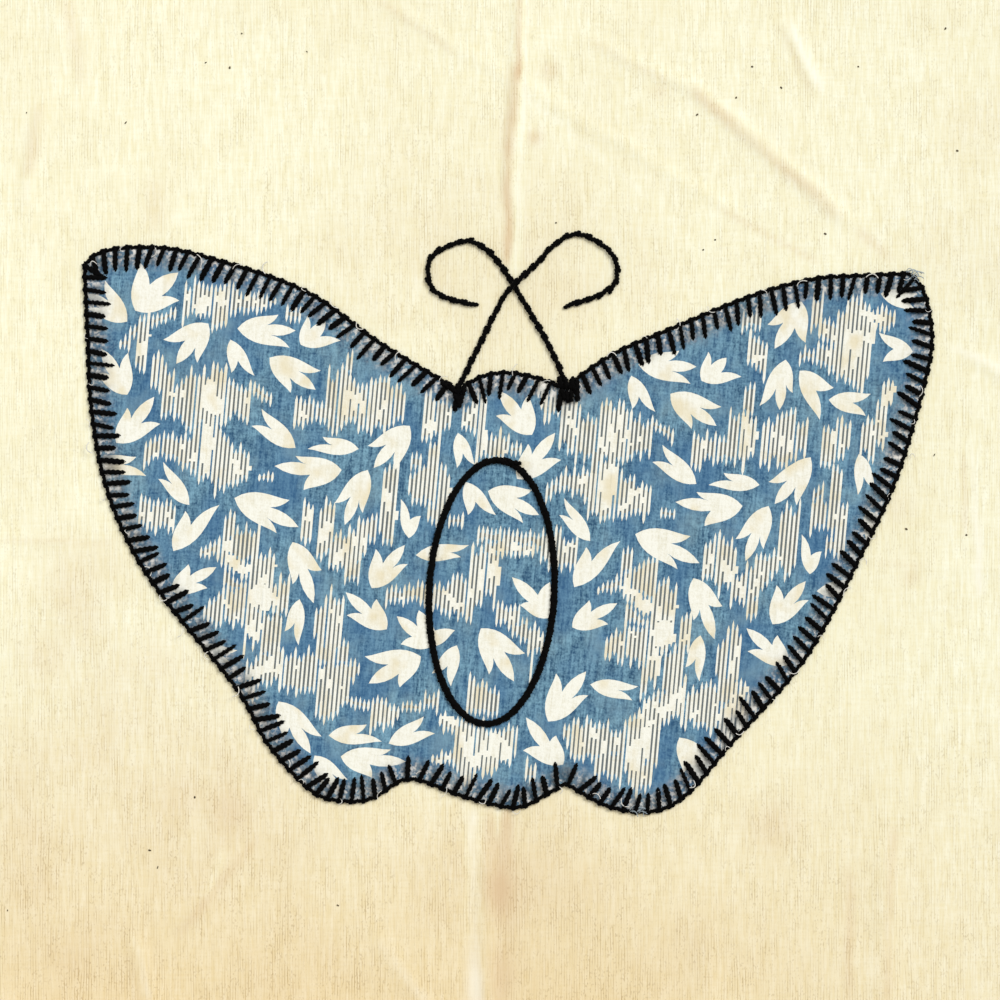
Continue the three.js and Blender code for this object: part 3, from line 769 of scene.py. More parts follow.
# %% Leaf outlines
SLIT_SHARE = 0.6
SIDE_BOW = 0.17
TIP_DRAW = 1.6
LOBE_BOW = 0.1
TIP_PULL = 0.24
PULL_LEFT = 790
PULL_FOOT = 560
PULL_FADE = 100


def repeated(x, y, turn):
    """A place in the chart, moved by whole repeats of the print."""
    if turn == 0:
        return x, y
    x, y = x + turn * REPEAT[0], y + turn * REPEAT[1]
    return x, y - TIP_PULL * max(0, x - PULL_LEFT) * min(max((PULL_FOOT - y) / PULL_FADE, 0), 1)


def bowed(start, end, bow, count, rise=1.0, fall=1.0):
    """Points from start towards end, bowed to the left by a share of the distance, without the end."""
    start, end = np.array(start, float), np.array(end, float)
    side = np.array([-(end - start)[1], (end - start)[0]])
    share = np.linspace(0, 1, count, endpoint=False)[:, None]
    return start + (end - start) * share + side * bow * 4 * share ** rise * (1 - share) ** fall


def leaf_outline(leaf):
    """A leaf's outline in the chart."""
    stem = np.array(leaf.stem, float)
    lobes = [np.array(tip, float) for tip in leaf.lobes]
    first, last = lobes[0] - stem, lobes[-1] - stem
    way = 1 if first[0] * last[1] - first[1] * last[0] > 0 else -1
    points = list(bowed(stem, lobes[0], -SIDE_BOW * way, 8, 1, TIP_DRAW))
    for tip, after in zip(lobes, lobes[1:]):
        slit = stem + SLIT_SHARE * ((tip + after) / 2 - stem)
        points.extend(bowed(tip, slit, -LOBE_BOW * way, 4))
        points.extend(bowed(slit, after, -LOBE_BOW * way, 4))
    points.extend(bowed(lobes[-1], stem, -SIDE_BOW * way, 8, TIP_DRAW, 1))
    return points


white_shapes = [
    [repeated(x, y, turn) for x, y in leaf_outline(leaf)]
    for leaf in LEAVES for turn in leaf.repeats
]
print(len(white_shapes), "leaves on the cloth")

# %% Combed strokes
STROKE_PITCH = 4.3
STROKE_SLANT = math.tan(math.radians(5.1))
STROKE_TAPER = 5
TAPER_SHARE = 0.3
STROKE_WIDTH_SHARE = 0.52
SOLID_WIDENING = 0.14
WIDTH_SPREAD = (0.8, 1.15)
SLIMNESS = 2.2
FRINGE = 20
FRINGE_SHARE = 0.4
FRINGE_SPREAD = (-0.75, 0.25)
CUT_SPREAD = (0.5, 0.85)
LONG_CUT_SPREAD = (0.15, 0.4)
LONG_CUTS = 0.4
CORE_WAVE = 31
CORE_SWAY = 0.3
CORE_ENDS = 0.45
GROUND_INSET = 8
print_dice = random.Random(4)


def leaning(x, middle, *heights):
    """Places at some heights on an upright line of the print that passes x at the middle height."""
    return [(x - (y - middle) * STROKE_SLANT, y) for y in heights]


def stroke(x, middle, top, bottom, width):
    """A white stroke with pointed ends."""
    taper = min(STROKE_TAPER, TAPER_SHARE * (bottom - top))
    upper, lower = top + taper, bottom - taper
    right = leaning(x + width / 2, middle, upper, lower)
    left = leaning(x - width / 2, middle, lower, upper)
    return [*leaning(x, middle, top), *right, *leaning(x, middle, bottom), *left]


def closed_gap(x, middle, top, bottom):
    """The white that closes the gap to the right of a stroke."""
    return leaning(x, middle, bottom, top) + leaning(x + STROKE_PITCH, middle, top, bottom)


def gap_cuts(band, x, middle, share):
    """How far the blue cuts into the white at one gap, from above and from below, as shares of its height."""
    core = band.solid * (1 - CORE_ENDS * (2 * share - 1) ** 2)
    sway = CORE_SWAY * math.sin(2 * math.pi * (x + 0.7 * middle) / CORE_WAVE)
    cuts = [(1 - core) * (print_dice.uniform(*CUT_SPREAD) + way * sway) for way in (1, -1)]
    if print_dice.random() < LONG_CUTS:
        cuts[print_dice.randrange(2)] += print_dice.uniform(*LONG_CUT_SPREAD)
    return cuts


def band_shapes(band):
    """A band's white shapes, and the outline of the ground between them."""
    middle = (band.top1 + band.bottom1 + band.top2 + band.bottom2) / 4
    drift = (middle - CHART_MIDDLE) * STROKE_SLANT
    first = math.ceil((band.x1 + drift) / STROKE_PITCH)
    last = math.floor((band.x2 + drift) / STROKE_PITCH)
    white, ground_top, ground_bottom = [], [], []
    for column in range(first, last + 1):
        x = column * STROKE_PITCH - drift
        share = (x - band.x1) / (band.x2 - band.x1)
        top = band.top1 + (band.top2 - band.top1) * share
        bottom = band.bottom1 + (band.bottom2 - band.bottom1) * share
        height = bottom - top
        fringe = min(FRINGE, FRINGE_SHARE * height)
        start = top + fringe * print_dice.uniform(*FRINGE_SPREAD)
        end = bottom - fringe * print_dice.uniform(*FRINGE_SPREAD)
        usual_width = STROKE_PITCH * (STROKE_WIDTH_SHARE + SOLID_WIDENING * band.solid)
        width = usual_width * print_dice.uniform(*WIDTH_SPREAD)
        white.append(stroke(x, middle, start, end, min(width, (end - start) / SLIMNESS)))
        inset = min(GROUND_INSET, FRINGE_SHARE * (end - start))
        ground_top.extend(leaning(x, middle, start + inset))
        ground_bottom.extend(leaning(x, middle, end - inset))
        above, below = gap_cuts(band, x, middle, share)
        if height * (1 - above - below) > STROKE_PITCH / 2:
            white.append(closed_gap(x, middle, top + height * above, bottom - height * below))
    return white, ground_top + ground_bottom[::-1]


combed_ground = []
for band in BANDS:
    for turn in band.repeats:
        x1, top1 = repeated(band.x1, band.top1, turn)
        x2, top2 = repeated(band.x2, band.top2, turn)
        bottom1, bottom2 = band.bottom1 + top1 - band.top1, band.bottom2 + top2 - band.top2
        white, ground = band_shapes(Band(x1, top1, bottom1, x2, top2, bottom2, band.solid, band.repeats))
        white_shapes.extend(white)
        combed_ground.append(ground)
print(len(white_shapes), "white shapes in all")

# %% [markdown]
# ## The butterfly's sheet
# The white shapes become faces of the cloth itself: a constrained triangulation cuts the outline, the leaves,
# the strokes and an even net of points into one sheet, and says which shape each triangle lies in. The sheet
# then gets its relief: held down at the stitched edge, puffed between the stitches, and drawn in along the
# sewn oval. An image would be simpler, but the edges of these shapes stay sharp at any distance.

# %% Butterfly relief
PATCH_EDGE_TOP = MUSLIN_TOP + 0.62 * MM
PUFF = 0.45 * MM
PUFF_REACH = 3 * MM
STITCHES = 204
PUCKER = 0.16 * MM
PUCKER_REACH = 4.5 * MM
PATCH_RIPPLES = (Ripple(22 * MM, 0.14 * MM, 21.0), Ripple(7 * MM, 0.05 * MM, 25.0))
RIPPLE_MARGIN = 6 * MM
OVAL_MIDDLE = np.array([-2.5, -28]) * MM
OVAL_HALF = np.array([19, 40]) * MM
OVAL_TILT = math.radians(-3)
OVAL_DRAW = 0.3 * MM
OVAL_DRAW_REACH = 2.2 * MM


def oval_points(count):
    """Points of the body's oval, anticlockwise from its top."""
    angle = np.linspace(0, 2 * np.pi, count, endpoint=False) + np.pi / 2
    x, y = OVAL_HALF[0] * np.cos(angle), OVAL_HALF[1] * np.sin(angle)
    cosine, sine = math.cos(OVAL_TILT), math.sin(OVAL_TILT)
    return OVAL_MIDDLE + np.column_stack([x * cosine - y * sine, x * sine + y * cosine])


def nearest_on_loop(points, loop):
    """Distance from each point to a closed loop, and the share of the way round where it is nearest."""
    ends = np.roll(loop, -1, axis=0)
    best = np.full(len(points), np.inf)
    share = np.zeros(len(points))
    for i, (start, end) in enumerate(zip(loop, ends)):
        side = end - start
        along = np.clip(((points - start) @ side) / (side @ side), 0, 1)
        distance = np.linalg.norm(points - start - along[:, None] * side, axis=1)
        closer = distance < best
        best[closer] = distance[closer]
        share[closer] = (i + along[closer]) / len(loop)
    return best, share


def patch_top(points):
    """Height of the butterfly's face at points in metres."""
    distance, share = nearest_on_loop(points, outline)
    puff = PUFF * (1 - np.exp(-distance / PUFF_REACH))
    pucker = PUCKER * np.cos(2 * np.pi * (share * STITCHES + 0.5)) * np.exp(-(distance / PUCKER_REACH) ** 2)
    ripple = rippled(points[:, 0], points[:, 1], PATCH_RIPPLES) * smooth_step(distance, 0, RIPPLE_MARGIN)
    oval_distance, _ = nearest_on_loop(points, oval_points(90))
    drawn = OVAL_DRAW * np.exp(-(oval_distance / OVAL_DRAW_REACH) ** 2)
    return PATCH_EDGE_TOP + puff + pucker + ripple - drawn


print("the face stands up to", round((PATCH_EDGE_TOP + PUFF) / MM, 2), "mm high")

# %% Cutting the sheet
NET_STEP = 1.8 * MM
BACK_STEP = 3.6 * MM
NEAR = 1e-7


def inside_any(points, loops):
    """Whether each point lies in any of the closed loops."""
    found = np.zeros(len(points), bool)
    for loop in loops:
        near = np.flatnonzero(((points >= loop.min(0)) & (points <= loop.max(0))).all(axis=1))
        x, y = points[near].T
        odd = np.zeros(len(near), bool)
        for (x1, y1), (x2, y2) in zip(loop, np.roll(loop, -1, axis=0)):
            if y1 != y2:
                odd ^= ((y1 > y) != (y2 > y)) & (x < x1 + (x2 - x1) * (y - y1) / (y2 - y1))
        found[near[odd]] = True
    return found


def net_points(step):
    """An even net of points inside the outline, in rows set half a step apart."""
    low, high = outline.min(0), outline.max(0)
    levels = even_lines(low[1], high[1], step * math.sqrt(0.75))
    places = even_lines(low[0], high[0], step)
    points = np.array([(x + (row % 2) * step / 2, y) for row, y in enumerate(levels) for x in places])
    return points[inside_any(points, [outline]) & (nearest_on_loop(points, outline)[0] > OUTLINE_STEP / 2)]


def cut_sheet(loops, net):
    """Triangles inside the outline that keep every loop's sides, and their points."""
    points, cuts = [], []
    for loop in loops:
        first = len(points)
        cuts.extend((first + i, first + (i + 1) % len(loop)) for i in range(len(loop)))
        points.extend(Vector(point) for point in loop)
    points.extend(Vector(point) for point in net)
    flat, _, triangles, *_ = delaunay_2d_cdt(points, cuts, [], 0, NEAR, False)
    flat = np.array([list(point) for point in flat])
    triangles = np.array(triangles)
    triangles = triangles[inside_any(flat[triangles].mean(axis=1), [outline])]
    used, faces = np.unique(triangles, return_inverse=True)
    return flat[used], [tuple(face) for face in faces.reshape(-1, 3).tolist()]


white_loops = [np.array([on_face(x, y) for x, y in shape]) for shape in white_shapes]
combed_loops = [np.array([on_face(x, y) for x, y in shape]) for shape in combed_ground]
patch_xy, patch_faces = cut_sheet([outline, *white_loops, *combed_loops], net_points(NET_STEP))
middles = patch_xy[np.array(patch_faces)].mean(axis=1)
is_white = inside_any(middles, white_loops)
is_combed = inside_any(middles, combed_loops)
print("butterfly face:", len(patch_faces), "triangles,", sum(is_white), "of them white")

# %% Butterfly mesh
PATCH_THICKNESS = 0.5 * MM
EDGE_WEAR_AND_SHADE_REACH = 5.5 * MM
FAR_FROM_EDGE = 9 * MM

sides_seen = {(a, b) for face in patch_faces for a, b in zip(face, face[1:] + face[:1])}
patch_rim = {a: b for a, b in sides_seen if (b, a) not in sides_seen}
rim_loop = [min(patch_rim)]
while patch_rim[rim_loop[-1]] != rim_loop[0]:
    rim_loop.append(patch_rim[rim_loop[-1]])

back_xy, back_triangles = cut_sheet([patch_xy[rim_loop]], net_points(BACK_STEP))
patch_count = len(patch_xy)
back_faces = [tuple(patch_count + corner for corner in reversed(face)) for face in back_triangles]
back_place = {tuple(np.round(point, 9)): patch_count + i for i, point in enumerate(back_xy)}
rim_faces = []
for here, after in zip(rim_loop, rim_loop[1:] + rim_loop[:1]):
    under_here, under_after = (back_place[tuple(np.round(patch_xy[i], 9))] for i in (here, after))
    rim_faces.append((under_here, under_after, after, here))
patch_points = np.concatenate([
    np.column_stack([patch_xy, patch_top(patch_xy)]),
    np.column_stack([back_xy, patch_top(back_xy) - PATCH_THICKNESS]),
])
all_faces = patch_faces + back_faces + rim_faces
patch = mesh_object("butterfly_cloth", patch_points.tolist(), all_faces)
patch.data.polygons.foreach_set("use_smooth", [True] * len(all_faces))

edge_distance, edge_share = nearest_on_loop(patch_points[:, :2], outline)
edge_distance[patch_count:] = FAR_FROM_EDGE
# nearness to the edge: it sets where the cloth is rubbed, and where painted shade lies beside the thread
wear = np.exp(-(edge_distance / EDGE_WEAR_AND_SHADE_REACH) ** 4)
# the puffs between stitches, which get lint and a painted highlight
crest = wear * (0.5 + 0.5 * np.cos(2 * np.pi * (edge_share * STITCHES + 0.5)))
for name, values in (("edge_wear_and_shade", wear), ("edge_crest", crest)):
    numbers = values.astype(np.float32)
    patch.data.attributes.new(name, "FLOAT", "POINT").data.foreach_set("value", numbers)
back_count = len(all_faces) - len(patch_faces)
for name, values in (("print_white", is_white), ("print_combed", is_combed)):
    numbers = np.concatenate([values, np.zeros(back_count)]).astype(np.float32)
    patch.data.attributes.new(name, "FLOAT", "FACE").data.foreach_set("value", numbers)
print("butterfly:", len(all_faces), "faces,", len(rim_loop), "points round its edge")

# %% [markdown]
# ## Printed cotton finish
# Quilting cotton is a close, smooth plain weave. The dye sits unevenly on its upright threads and has faded
# in patches, so the blue is streaked and cloudy. The white of the print is the bare, slightly creamy cloth.
# Between the combed strokes the thin blue lines look greyer. Along the edge the cloth is rubbed; beside the
# thread it is darkened by dirt and by painted shade, and where it puffs up between two stitches it is paled
# by lint and by a painted highlight. The weave is drawn about 0.8 mm apart, coarser than the real 0.3 mm, so
# that it shows.

# %% Printed cotton finish
PRINT_PITCH = 0.8 * MM
GRAIN_TURN = math.radians(5.1)


def printed_cotton_finish():
    """Printed quilting cotton: matt, blue in streaks with creamy white shapes, rubbed and linty at its edge,
    with painted shade beside the thread and a painted highlight on the puffs.
    """
    material, tree, place = new_finish("printed quilting cotton")
    turned = add_node(tree, "ShaderNodeMapping", None, {"Vector": place, "Rotation": (0, 0, GRAIN_TURN)})
    upright = slubs(tree, turned, PRINT_PITCH, 6 * MM)
    crosswise = slubs(tree, turned, 3 * MM, PRINT_PITCH)
    grain = slubs(tree, turned, 0.5 * MM, 0.6 * MM, 1.0)
    cloudy = slubs(tree, turned, 12 * MM, 18 * MM, 3.0)
    stained = slubs(tree, turned, 7 * MM, 9 * MM)
    patchy = slubs(tree, place, 4 * MM, 4 * MM)
    fuzz = slubs(tree, place, 1.1 * MM, 1.1 * MM)
    threads = add_node(tree, "ShaderNodeMath", TIMES_PLUS, (crosswise, 0.5, upright))
    threads = add_node(tree, "ShaderNodeMath", TIMES_PLUS, (grain, 0.7, threads))
    combed, printed, edge, crest_tone = (
        add_node(tree, "ShaderNodeAttribute", {"attribute_name": name}).outputs["Fac"]
        for name in ("print_combed", "print_white", "edge_wear_and_shade", "edge_crest")
    )
    ground = tinted(tree, linear("#2b5170"), [
        Tint(threads, 0.83, 1.36, 1, "#7da8be"), Tint(cloudy, 0.4, 0.65, 0.6, "#3c6a95"),
        Tint(stained, 0.5, 0.72, 0.4, "#8aaab6"), Tint(combed, 0, 1, 0.82, "#70726c"),
    ])
    white = tinted(tree, linear("#e7e4d1"), [
        Tint(threads, 0.7, 1.2, 1, "#f7f7ec"), Tint(stained, 0.52, 0.7, 0.65, "#e6d9b3"),
    ])
    colour = add_node(tree, "ShaderNodeMix", COLOUR, (printed, ground, white))
    rubbed = add_node(tree, "ShaderNodeMapRange", None, (fuzz, 0.35, 0.65, 0.3, 0.85))
    spared = add_node(tree, "ShaderNodeMapRange", None, (patchy, 0.4, 0.56, 0.3, 1))
    rubbed = add_node(tree, "ShaderNodeMath", TIMES, (rubbed, spared))
    rubbed = add_node(tree, "ShaderNodeMath", TIMES, (rubbed, edge))
    worn = tinted(tree, linear("#7f898f"), [Tint(stained, 0.46, 0.6, 0.8, "#b9ac9c")])
    colour = add_node(tree, "ShaderNodeMix", COLOUR, (rubbed, colour, worn))
    # painted shade beside each bar of thread, with some dirt, lighter on the puffs between stitches
    painted_shade_by_thread = add_node(tree, "ShaderNodeMath", MINUS, (edge, crest_tone))
    # lint on the puffs, together with a painted highlight where the cloth puffs up
    lint = add_node(tree, "ShaderNodeMapRange", None, (fuzz, 0.45, 0.62, 0, 0.95))
    lint = add_node(tree, "ShaderNodeMath", TIMES, (lint, crest_tone))
    colour = tinted(tree, colour, [Tint(painted_shade_by_thread, 0, 1, 0.75, "#26343f"), Tint(lint, 0, 1, 1, "#f0ece4")])
    relief = add_node(tree, "ShaderNodeBump", None, {
        "Height": threads, "Distance": 0.2 * MM, "Strength": 0.45,
    })
    end_finish(tree, colour, 0.88, relief)
    return material


patch.data.materials.append(printed_cotton_finish())
print("finish:", patch.data.materials[0].name)

# %% [markdown]
# ## Black thread
# Stranded cotton is several plies lightly twisted, matt with a faint sheen along the strands, and a little
# fluffy. The black is kept just above pure black, so that the plies still catch some light.

# %% Thread finish
def black_thread_finish():
    """Black stranded cotton: deep and matt, broken up by fluff on its plies."""
    material, tree, place = new_finish("black stranded cotton")
    fluff = slubs(tree, place, 0.7 * MM, 0.7 * MM)
    black = tinted(tree, linear("#030303"), [Tint(fluff, 0.35, 0.75, 1, "#090808")])
    relief = add_node(tree, "ShaderNodeBump", None, {"Height": fluff, "Distance": 0.1 * MM, "Strength": 0.4})
    end_finish(tree, black, 0.9, relief, {
        "Specular IOR Level": 0.07, "Sheen Weight": 0.03, "Sheen Roughness": 0.4,
    })
    return material


thread_black = black_thread_finish()
print("finish:", thread_black.name)

# %% [markdown]
# ## One stitch
# A node group makes a single stitch: a three-lobed section swept along a low arch and turned as it goes, so
# that the plies show, with ends that sink into the cloth. It has few faces, because hundreds of them are set
# out. Both kinds of stitch use it, so a change to the thread is made in one place.

# %% One stitch
PLUS = {"operation": "ADD"}
TIMES_SIZE = {"operation": "SCALE"}
STITCH_STEPS = 11
PLIES = 3
PLY_DEPTH = 0.7
END_SHARE = 0.6
STITCH_SIZES = ("Length", "Width", "Rise", "Twist")
SOCKETS = {
    float: "NodeSocketFloat", int: "NodeSocketInt",
    "geometry": "NodeSocketGeometry", "material": "NodeSocketMaterial",
}


def new_tree(name, sizes):
    """A new geometry tree with named inputs, and the sockets that give their values."""
    tree = bpy.data.node_groups.new(name, "GeometryNodeTree")
    for label, kind in sizes.items():
        tree.interface.new_socket(label, in_out="INPUT", socket_type=SOCKETS[kind])
    tree.interface.new_socket("Geometry", in_out="OUTPUT", socket_type=SOCKETS["geometry"])
    return tree, add_node(tree, "NodeGroupInput").outputs


def plied_thread(tree, line, run, radius, twist, taper=None):
    """A thread swept along a line, with its plies turned once for every twist of its run."""
    turns = add_node(tree, "ShaderNodeMath", {"operation": "DIVIDE"}, (run, twist))
    tilt = add_node(tree, "ShaderNodeMath", TIMES, (turns, 2 * math.pi))
    line = add_node(tree, "GeometryNodeSetCurveTilt", None, {"Curve": line, "Tilt": tilt})
    inner = add_node(tree, "ShaderNodeMath", TIMES, (radius, PLY_DEPTH))
    section = add_node(tree, "GeometryNodeCurveStar", None, {
        "Points": PLIES, "Inner Radius": inner, "Outer Radius": radius, "Twist": 0.0,
    })
    thread = add_node(tree, "GeometryNodeCurveToMesh", None, {
        "Curve": line, "Profile Curve": section, "Scale": taper, "Fill Caps": True,
    })
    return add_node(tree, "GeometryNodeSetShadeSmooth", None, {"Geometry": thread})


def one_stitch_tree():
    """A stitch along X, arched up from the cloth and thinner at its ends."""
    tree, given = new_tree("One stitch", {size: float for size in STITCH_SIZES})
    tip = add_node(tree, "ShaderNodeCombineXYZ", None, {"X": given["Length"]})
    line = add_node(tree, "GeometryNodeCurvePrimitiveLine", None, {"End": tip})
    line = add_node(tree, "GeometryNodeResampleCurve", None, {"Curve": line, "Count": STITCH_STEPS})
    share = add_node(tree, "GeometryNodeSplineParameter").outputs["Factor"]
    turn = add_node(tree, "ShaderNodeMath", TIMES, (share, math.pi))
    arch = add_node(tree, "ShaderNodeMath", SINE, (turn,))
    arch = add_node(tree, "ShaderNodeMath", {"operation": "POWER"}, (arch, 0.5))
    height = add_node(tree, "ShaderNodeMath", TIMES, (arch, given["Rise"]))
    lift = add_node(tree, "ShaderNodeCombineXYZ", None, {"Z": height})
    line = add_node(tree, "GeometryNodeSetPosition", None, {"Geometry": line, "Offset": lift})
    run = add_node(tree, "ShaderNodeMath", TIMES, (share, given["Length"]))
    radius = add_node(tree, "ShaderNodeMath", TIMES, (given["Width"], 0.5))
    taper = add_node(tree, "ShaderNodeMath", TIMES_PLUS, (arch, 1 - END_SHARE, END_SHARE))
    thread = plied_thread(tree, line, run, radius, given["Twist"], taper)
    add_node(tree, "NodeGroupOutput", None, (thread,))
    return tree


ONE_STITCH = one_stitch_tree()
print("stitch group inputs:", STITCH_SIZES)

# %% [markdown]
# ## Blanket stitch
# The needle goes in inside the edge and comes out at it, over the loop of thread, so each stitch lays a bar
# across the cloth, and the thread runs along the edge from bar to bar with a small knot at each. Geometry
# Nodes set the stitches out along the outline: they are alike, and their number, lean and unevenness can be
# changed by their inputs.

# %% Blanket stitch tree
EDGE_POINTS_PER_STITCH = 8
EDGE_THREAD_SHARE = 0.4
THREAD_WIDTH_SPREAD = (0.85, 1.15)


def chance_facing(tree, way, lean, spread, seed, pivot):
    """The turn that lays a stitch along a way, leaned by an angle that is uneven by a spread."""
    other_side = add_node(tree, "ShaderNodeMath", TIMES, (spread, -1.0))
    chance = add_node(tree, "FunctionNodeRandomValue", None, (other_side, spread, None, seed))
    angle = add_node(tree, "ShaderNodeMath", PLUS, (lean, chance))
    leaned = add_node(tree, "ShaderNodeVectorRotate", {"rotation_type": "Z_AXIS"}, {
        "Vector": way, "Angle": angle,
    })
    return add_node(tree, "FunctionNodeAlignRotationToVector", {"axis": "X", "pivot_axis": pivot}, {
        "Vector": leaned,
    })


def chance_stretch(tree, spread, seed):
    """A stitch's uneven length and thickness, as a scale."""
    least = add_node(tree, "ShaderNodeMath", MINUS, (1.0, spread))
    most = add_node(tree, "ShaderNodeMath", PLUS, (1.0, spread))
    length_seed = add_node(tree, "ShaderNodeMath", PLUS, (seed, 1.0))
    width_seed = add_node(tree, "ShaderNodeMath", PLUS, (seed, 2.0))
    length = add_node(tree, "FunctionNodeRandomValue", None, (least, most, None, length_seed))
    width = add_node(tree, "FunctionNodeRandomValue", None, (*THREAD_WIDTH_SPREAD, None, width_seed))
    return add_node(tree, "ShaderNodeCombineXYZ", None, {"X": length, "Y": width, "Z": 1.0})


def edge_thread(tree, curve, inward, given):
    """The thread along the edge, bowed outwards between one bar and the next."""
    count = add_node(tree, "ShaderNodeMath", TIMES, (given["Stitches"], EDGE_POINTS_PER_STITCH))
    line = add_node(tree, "GeometryNodeResampleCurve", None, {"Curve": curve, "Count": count})
    index = add_node(tree, "GeometryNodeInputIndex")
    turn = add_node(tree, "ShaderNodeMath", TIMES, (index, 2 * math.pi / EDGE_POINTS_PER_STITCH))
    wave = add_node(tree, "ShaderNodeMath", {"operation": "COSINE"}, (turn,))
    sway = add_node(tree, "ShaderNodeMath", TIMES, (wave, given["Scallop"]))
    outward = add_node(tree, "ShaderNodeMath", TIMES, (sway, -1.0))
    aside = add_node(tree, "ShaderNodeVectorMath", TIMES_SIZE, (inward, outward))
    line = add_node(tree, "GeometryNodeSetPosition", None, {"Geometry": line, "Offset": aside})
    run = add_node(tree, "GeometryNodeSplineParameter").outputs["Length"]
    radius = add_node(tree, "ShaderNodeMath", TIMES, (given["Width"], EDGE_THREAD_SHARE))
    return plied_thread(tree, line, run, radius, given["Twist"])


def end_tree(tree, shape, material):
    """Ends a tree: its copies are made real and given their material."""
    real = add_node(tree, "GeometryNodeRealizeInstances", None, {"Geometry": shape})
    dyed = add_node(tree, "GeometryNodeSetMaterial", None, {"Geometry": real, "Material": material})
    add_node(tree, "NodeGroupOutput", None, (dyed,))


def blanket_stitch_tree():
    """A bar and a knot at every stitch along a closed line, and the thread between them."""
    tree, given = new_tree("Blanket stitch", {
        "Geometry": "geometry", "Stitches": int, **{size: float for size in STITCH_SIZES},
        "Length Spread": float, "Lean": float, "Lean Spread": float, "Scallop": float, "Knot": float,
        "Seed": int, "Material": "material",
    })
    curve = add_node(tree, "GeometryNodeMeshToCurve", None, {"Mesh": given["Geometry"]})
    places = add_node(tree, "GeometryNodeResampleCurve", None, {"Curve": curve, "Count": given["Stitches"]})
    tangent = add_node(tree, "GeometryNodeInputTangent")
    inward = add_node(tree, "ShaderNodeVectorMath", {"operation": "CROSS_PRODUCT"}, ((0, 0, 1), tangent))
    facing = chance_facing(tree, inward, given["Lean"], given["Lean Spread"], given["Seed"], "Z")
    bar = add_node(tree, "GeometryNodeGroup", {"node_tree": ONE_STITCH}, {
        size: given[size] for size in STITCH_SIZES
    })
    bars = add_node(tree, "GeometryNodeInstanceOnPoints", None, {
        "Points": places, "Instance": bar, "Rotation": facing,
        "Scale": chance_stretch(tree, given["Length Spread"], given["Seed"]),
    })
    knot = add_node(tree, "GeometryNodeMeshUVSphere", None, {
        "Segments": 8, "Rings": 5, "Radius": given["Knot"],
    })
    knot = add_node(tree, "GeometryNodeTransform", None, {"Geometry": knot, "Scale": (0.8, 1.0, 0.75)})
    knots = add_node(tree, "GeometryNodeInstanceOnPoints", None, {
        "Points": places, "Instance": knot, "Rotation": facing,
    })
    joined = add_node(tree, "GeometryNodeJoinGeometry")
    for part in (bars, knots, edge_thread(tree, curve, inward, given)):
        tree.links.new(part.outputs[0], joined.inputs[0])
    end_tree(tree, joined, given["Material"])
    return tree


BLANKET_STITCH = blanket_stitch_tree()
print("blanket stitch inputs:", [item.name for item in BLANKET_STITCH.interface.items_tree][1:])

# %% Sewing the edge
EDGE_THREAD_LEVEL = PATCH_EDGE_TOP + 0.1 * MM


def path_object(name, points, closed):
    """A mesh of one line through points, for a tree to follow."""
    count = len(points)
    sides = [(i, i + 1) for i in range(count - 1)] + ([(count - 1, 0)] if closed else [])
    return mesh_object(name, [tuple(point) for point in points], [], sides)


def finished_mesh(piece, tree, values):
    """Runs a geometry tree on a piece with the given inputs, and keeps its result as a plain mesh."""
    modifier = piece.modifiers.new(tree.name, "NODES")
    modifier.node_group = tree
    for socket in tree.interface.items_tree:
        if socket.in_out == "INPUT" and socket.name in values:
            modifier[socket.identifier] = values[socket.name]
    evaluated = piece.evaluated_get(bpy.context.evaluated_depsgraph_get())
    mesh = bpy.data.meshes.new_from_object(evaluated)
    piece.modifiers.clear()
    piece.data = mesh
    return piece


edge_places = np.column_stack([outline, np.full(len(outline), EDGE_THREAD_LEVEL)])
edging = path_object("edge_stitching_thread", edge_places, True)
finished_mesh(edging, BLANKET_STITCH, {
    "Stitches": STITCHES, "Length": 6.8 * MM, "Length Spread": 0.19, "Width": 1.9 * MM, "Rise": 0.75 * MM,
    "Twist": 4 * MM, "Lean": math.radians(-13), "Lean Spread": math.radians(8), "Scallop": 0.25 * MM,
    "Knot": 0.75 * MM, "Seed": 5, "Material": thread_black,
})
print("blanket stitch:", STITCHES, "stitches,", len(edging.data.polygons), "faces")

# %% [markdown]
# ## Outline stitch
# The antennae and the oval are outline stitch: each stitch starts half way back along the one before and lies
# a little aslant, so the line looks like a thin rope. The same stitch group is set out along a path, and the
# antenna that was sewn last climbs over the other where they cross.

# %% Outline stitch tree
def outline_stitch_tree():
    """Stitches set out along a line, each one lying half way over the one before."""
    tree, given = new_tree("Outline stitch", {
        "Geometry": "geometry", "Stitches": int, **{size: float for size in STITCH_SIZES},
        "Slant": float, "Slant Spread": float, "Seed": int, "Material": "material",
    })
    curve = add_node(tree, "GeometryNodeMeshToCurve", None, {"Mesh": given["Geometry"]})
    places = add_node(tree, "GeometryNodeResampleCurve", None, {"Curve": curve, "Count": given["Stitches"]})
    tangent = add_node(tree, "GeometryNodeInputTangent")
    facing = chance_facing(tree, tangent, given["Slant"], given["Slant Spread"], given["Seed"], "AUTO")
    stitch = add_node(tree, "GeometryNodeGroup", {"node_tree": ONE_STITCH}, {
        size: given[size] for size in STITCH_SIZES
    })
    half_back = add_node(tree, "ShaderNodeMath", TIMES, (given["Length"], -0.5))
    back = add_node(tree, "ShaderNodeCombineXYZ", None, {"X": half_back})
    stitch = add_node(tree, "GeometryNodeTransform", None, {"Geometry": stitch, "Translation": back})
    row = add_node(tree, "GeometryNodeInstanceOnPoints", None, {
        "Points": places, "Instance": stitch, "Rotation": facing,
    })
    end_tree(tree, row, given["Material"])
    return tree


OUTLINE_STITCH = outline_stitch_tree()
print("outline stitch inputs:", [item.name for item in OUTLINE_STITCH.interface.items_tree][1:])

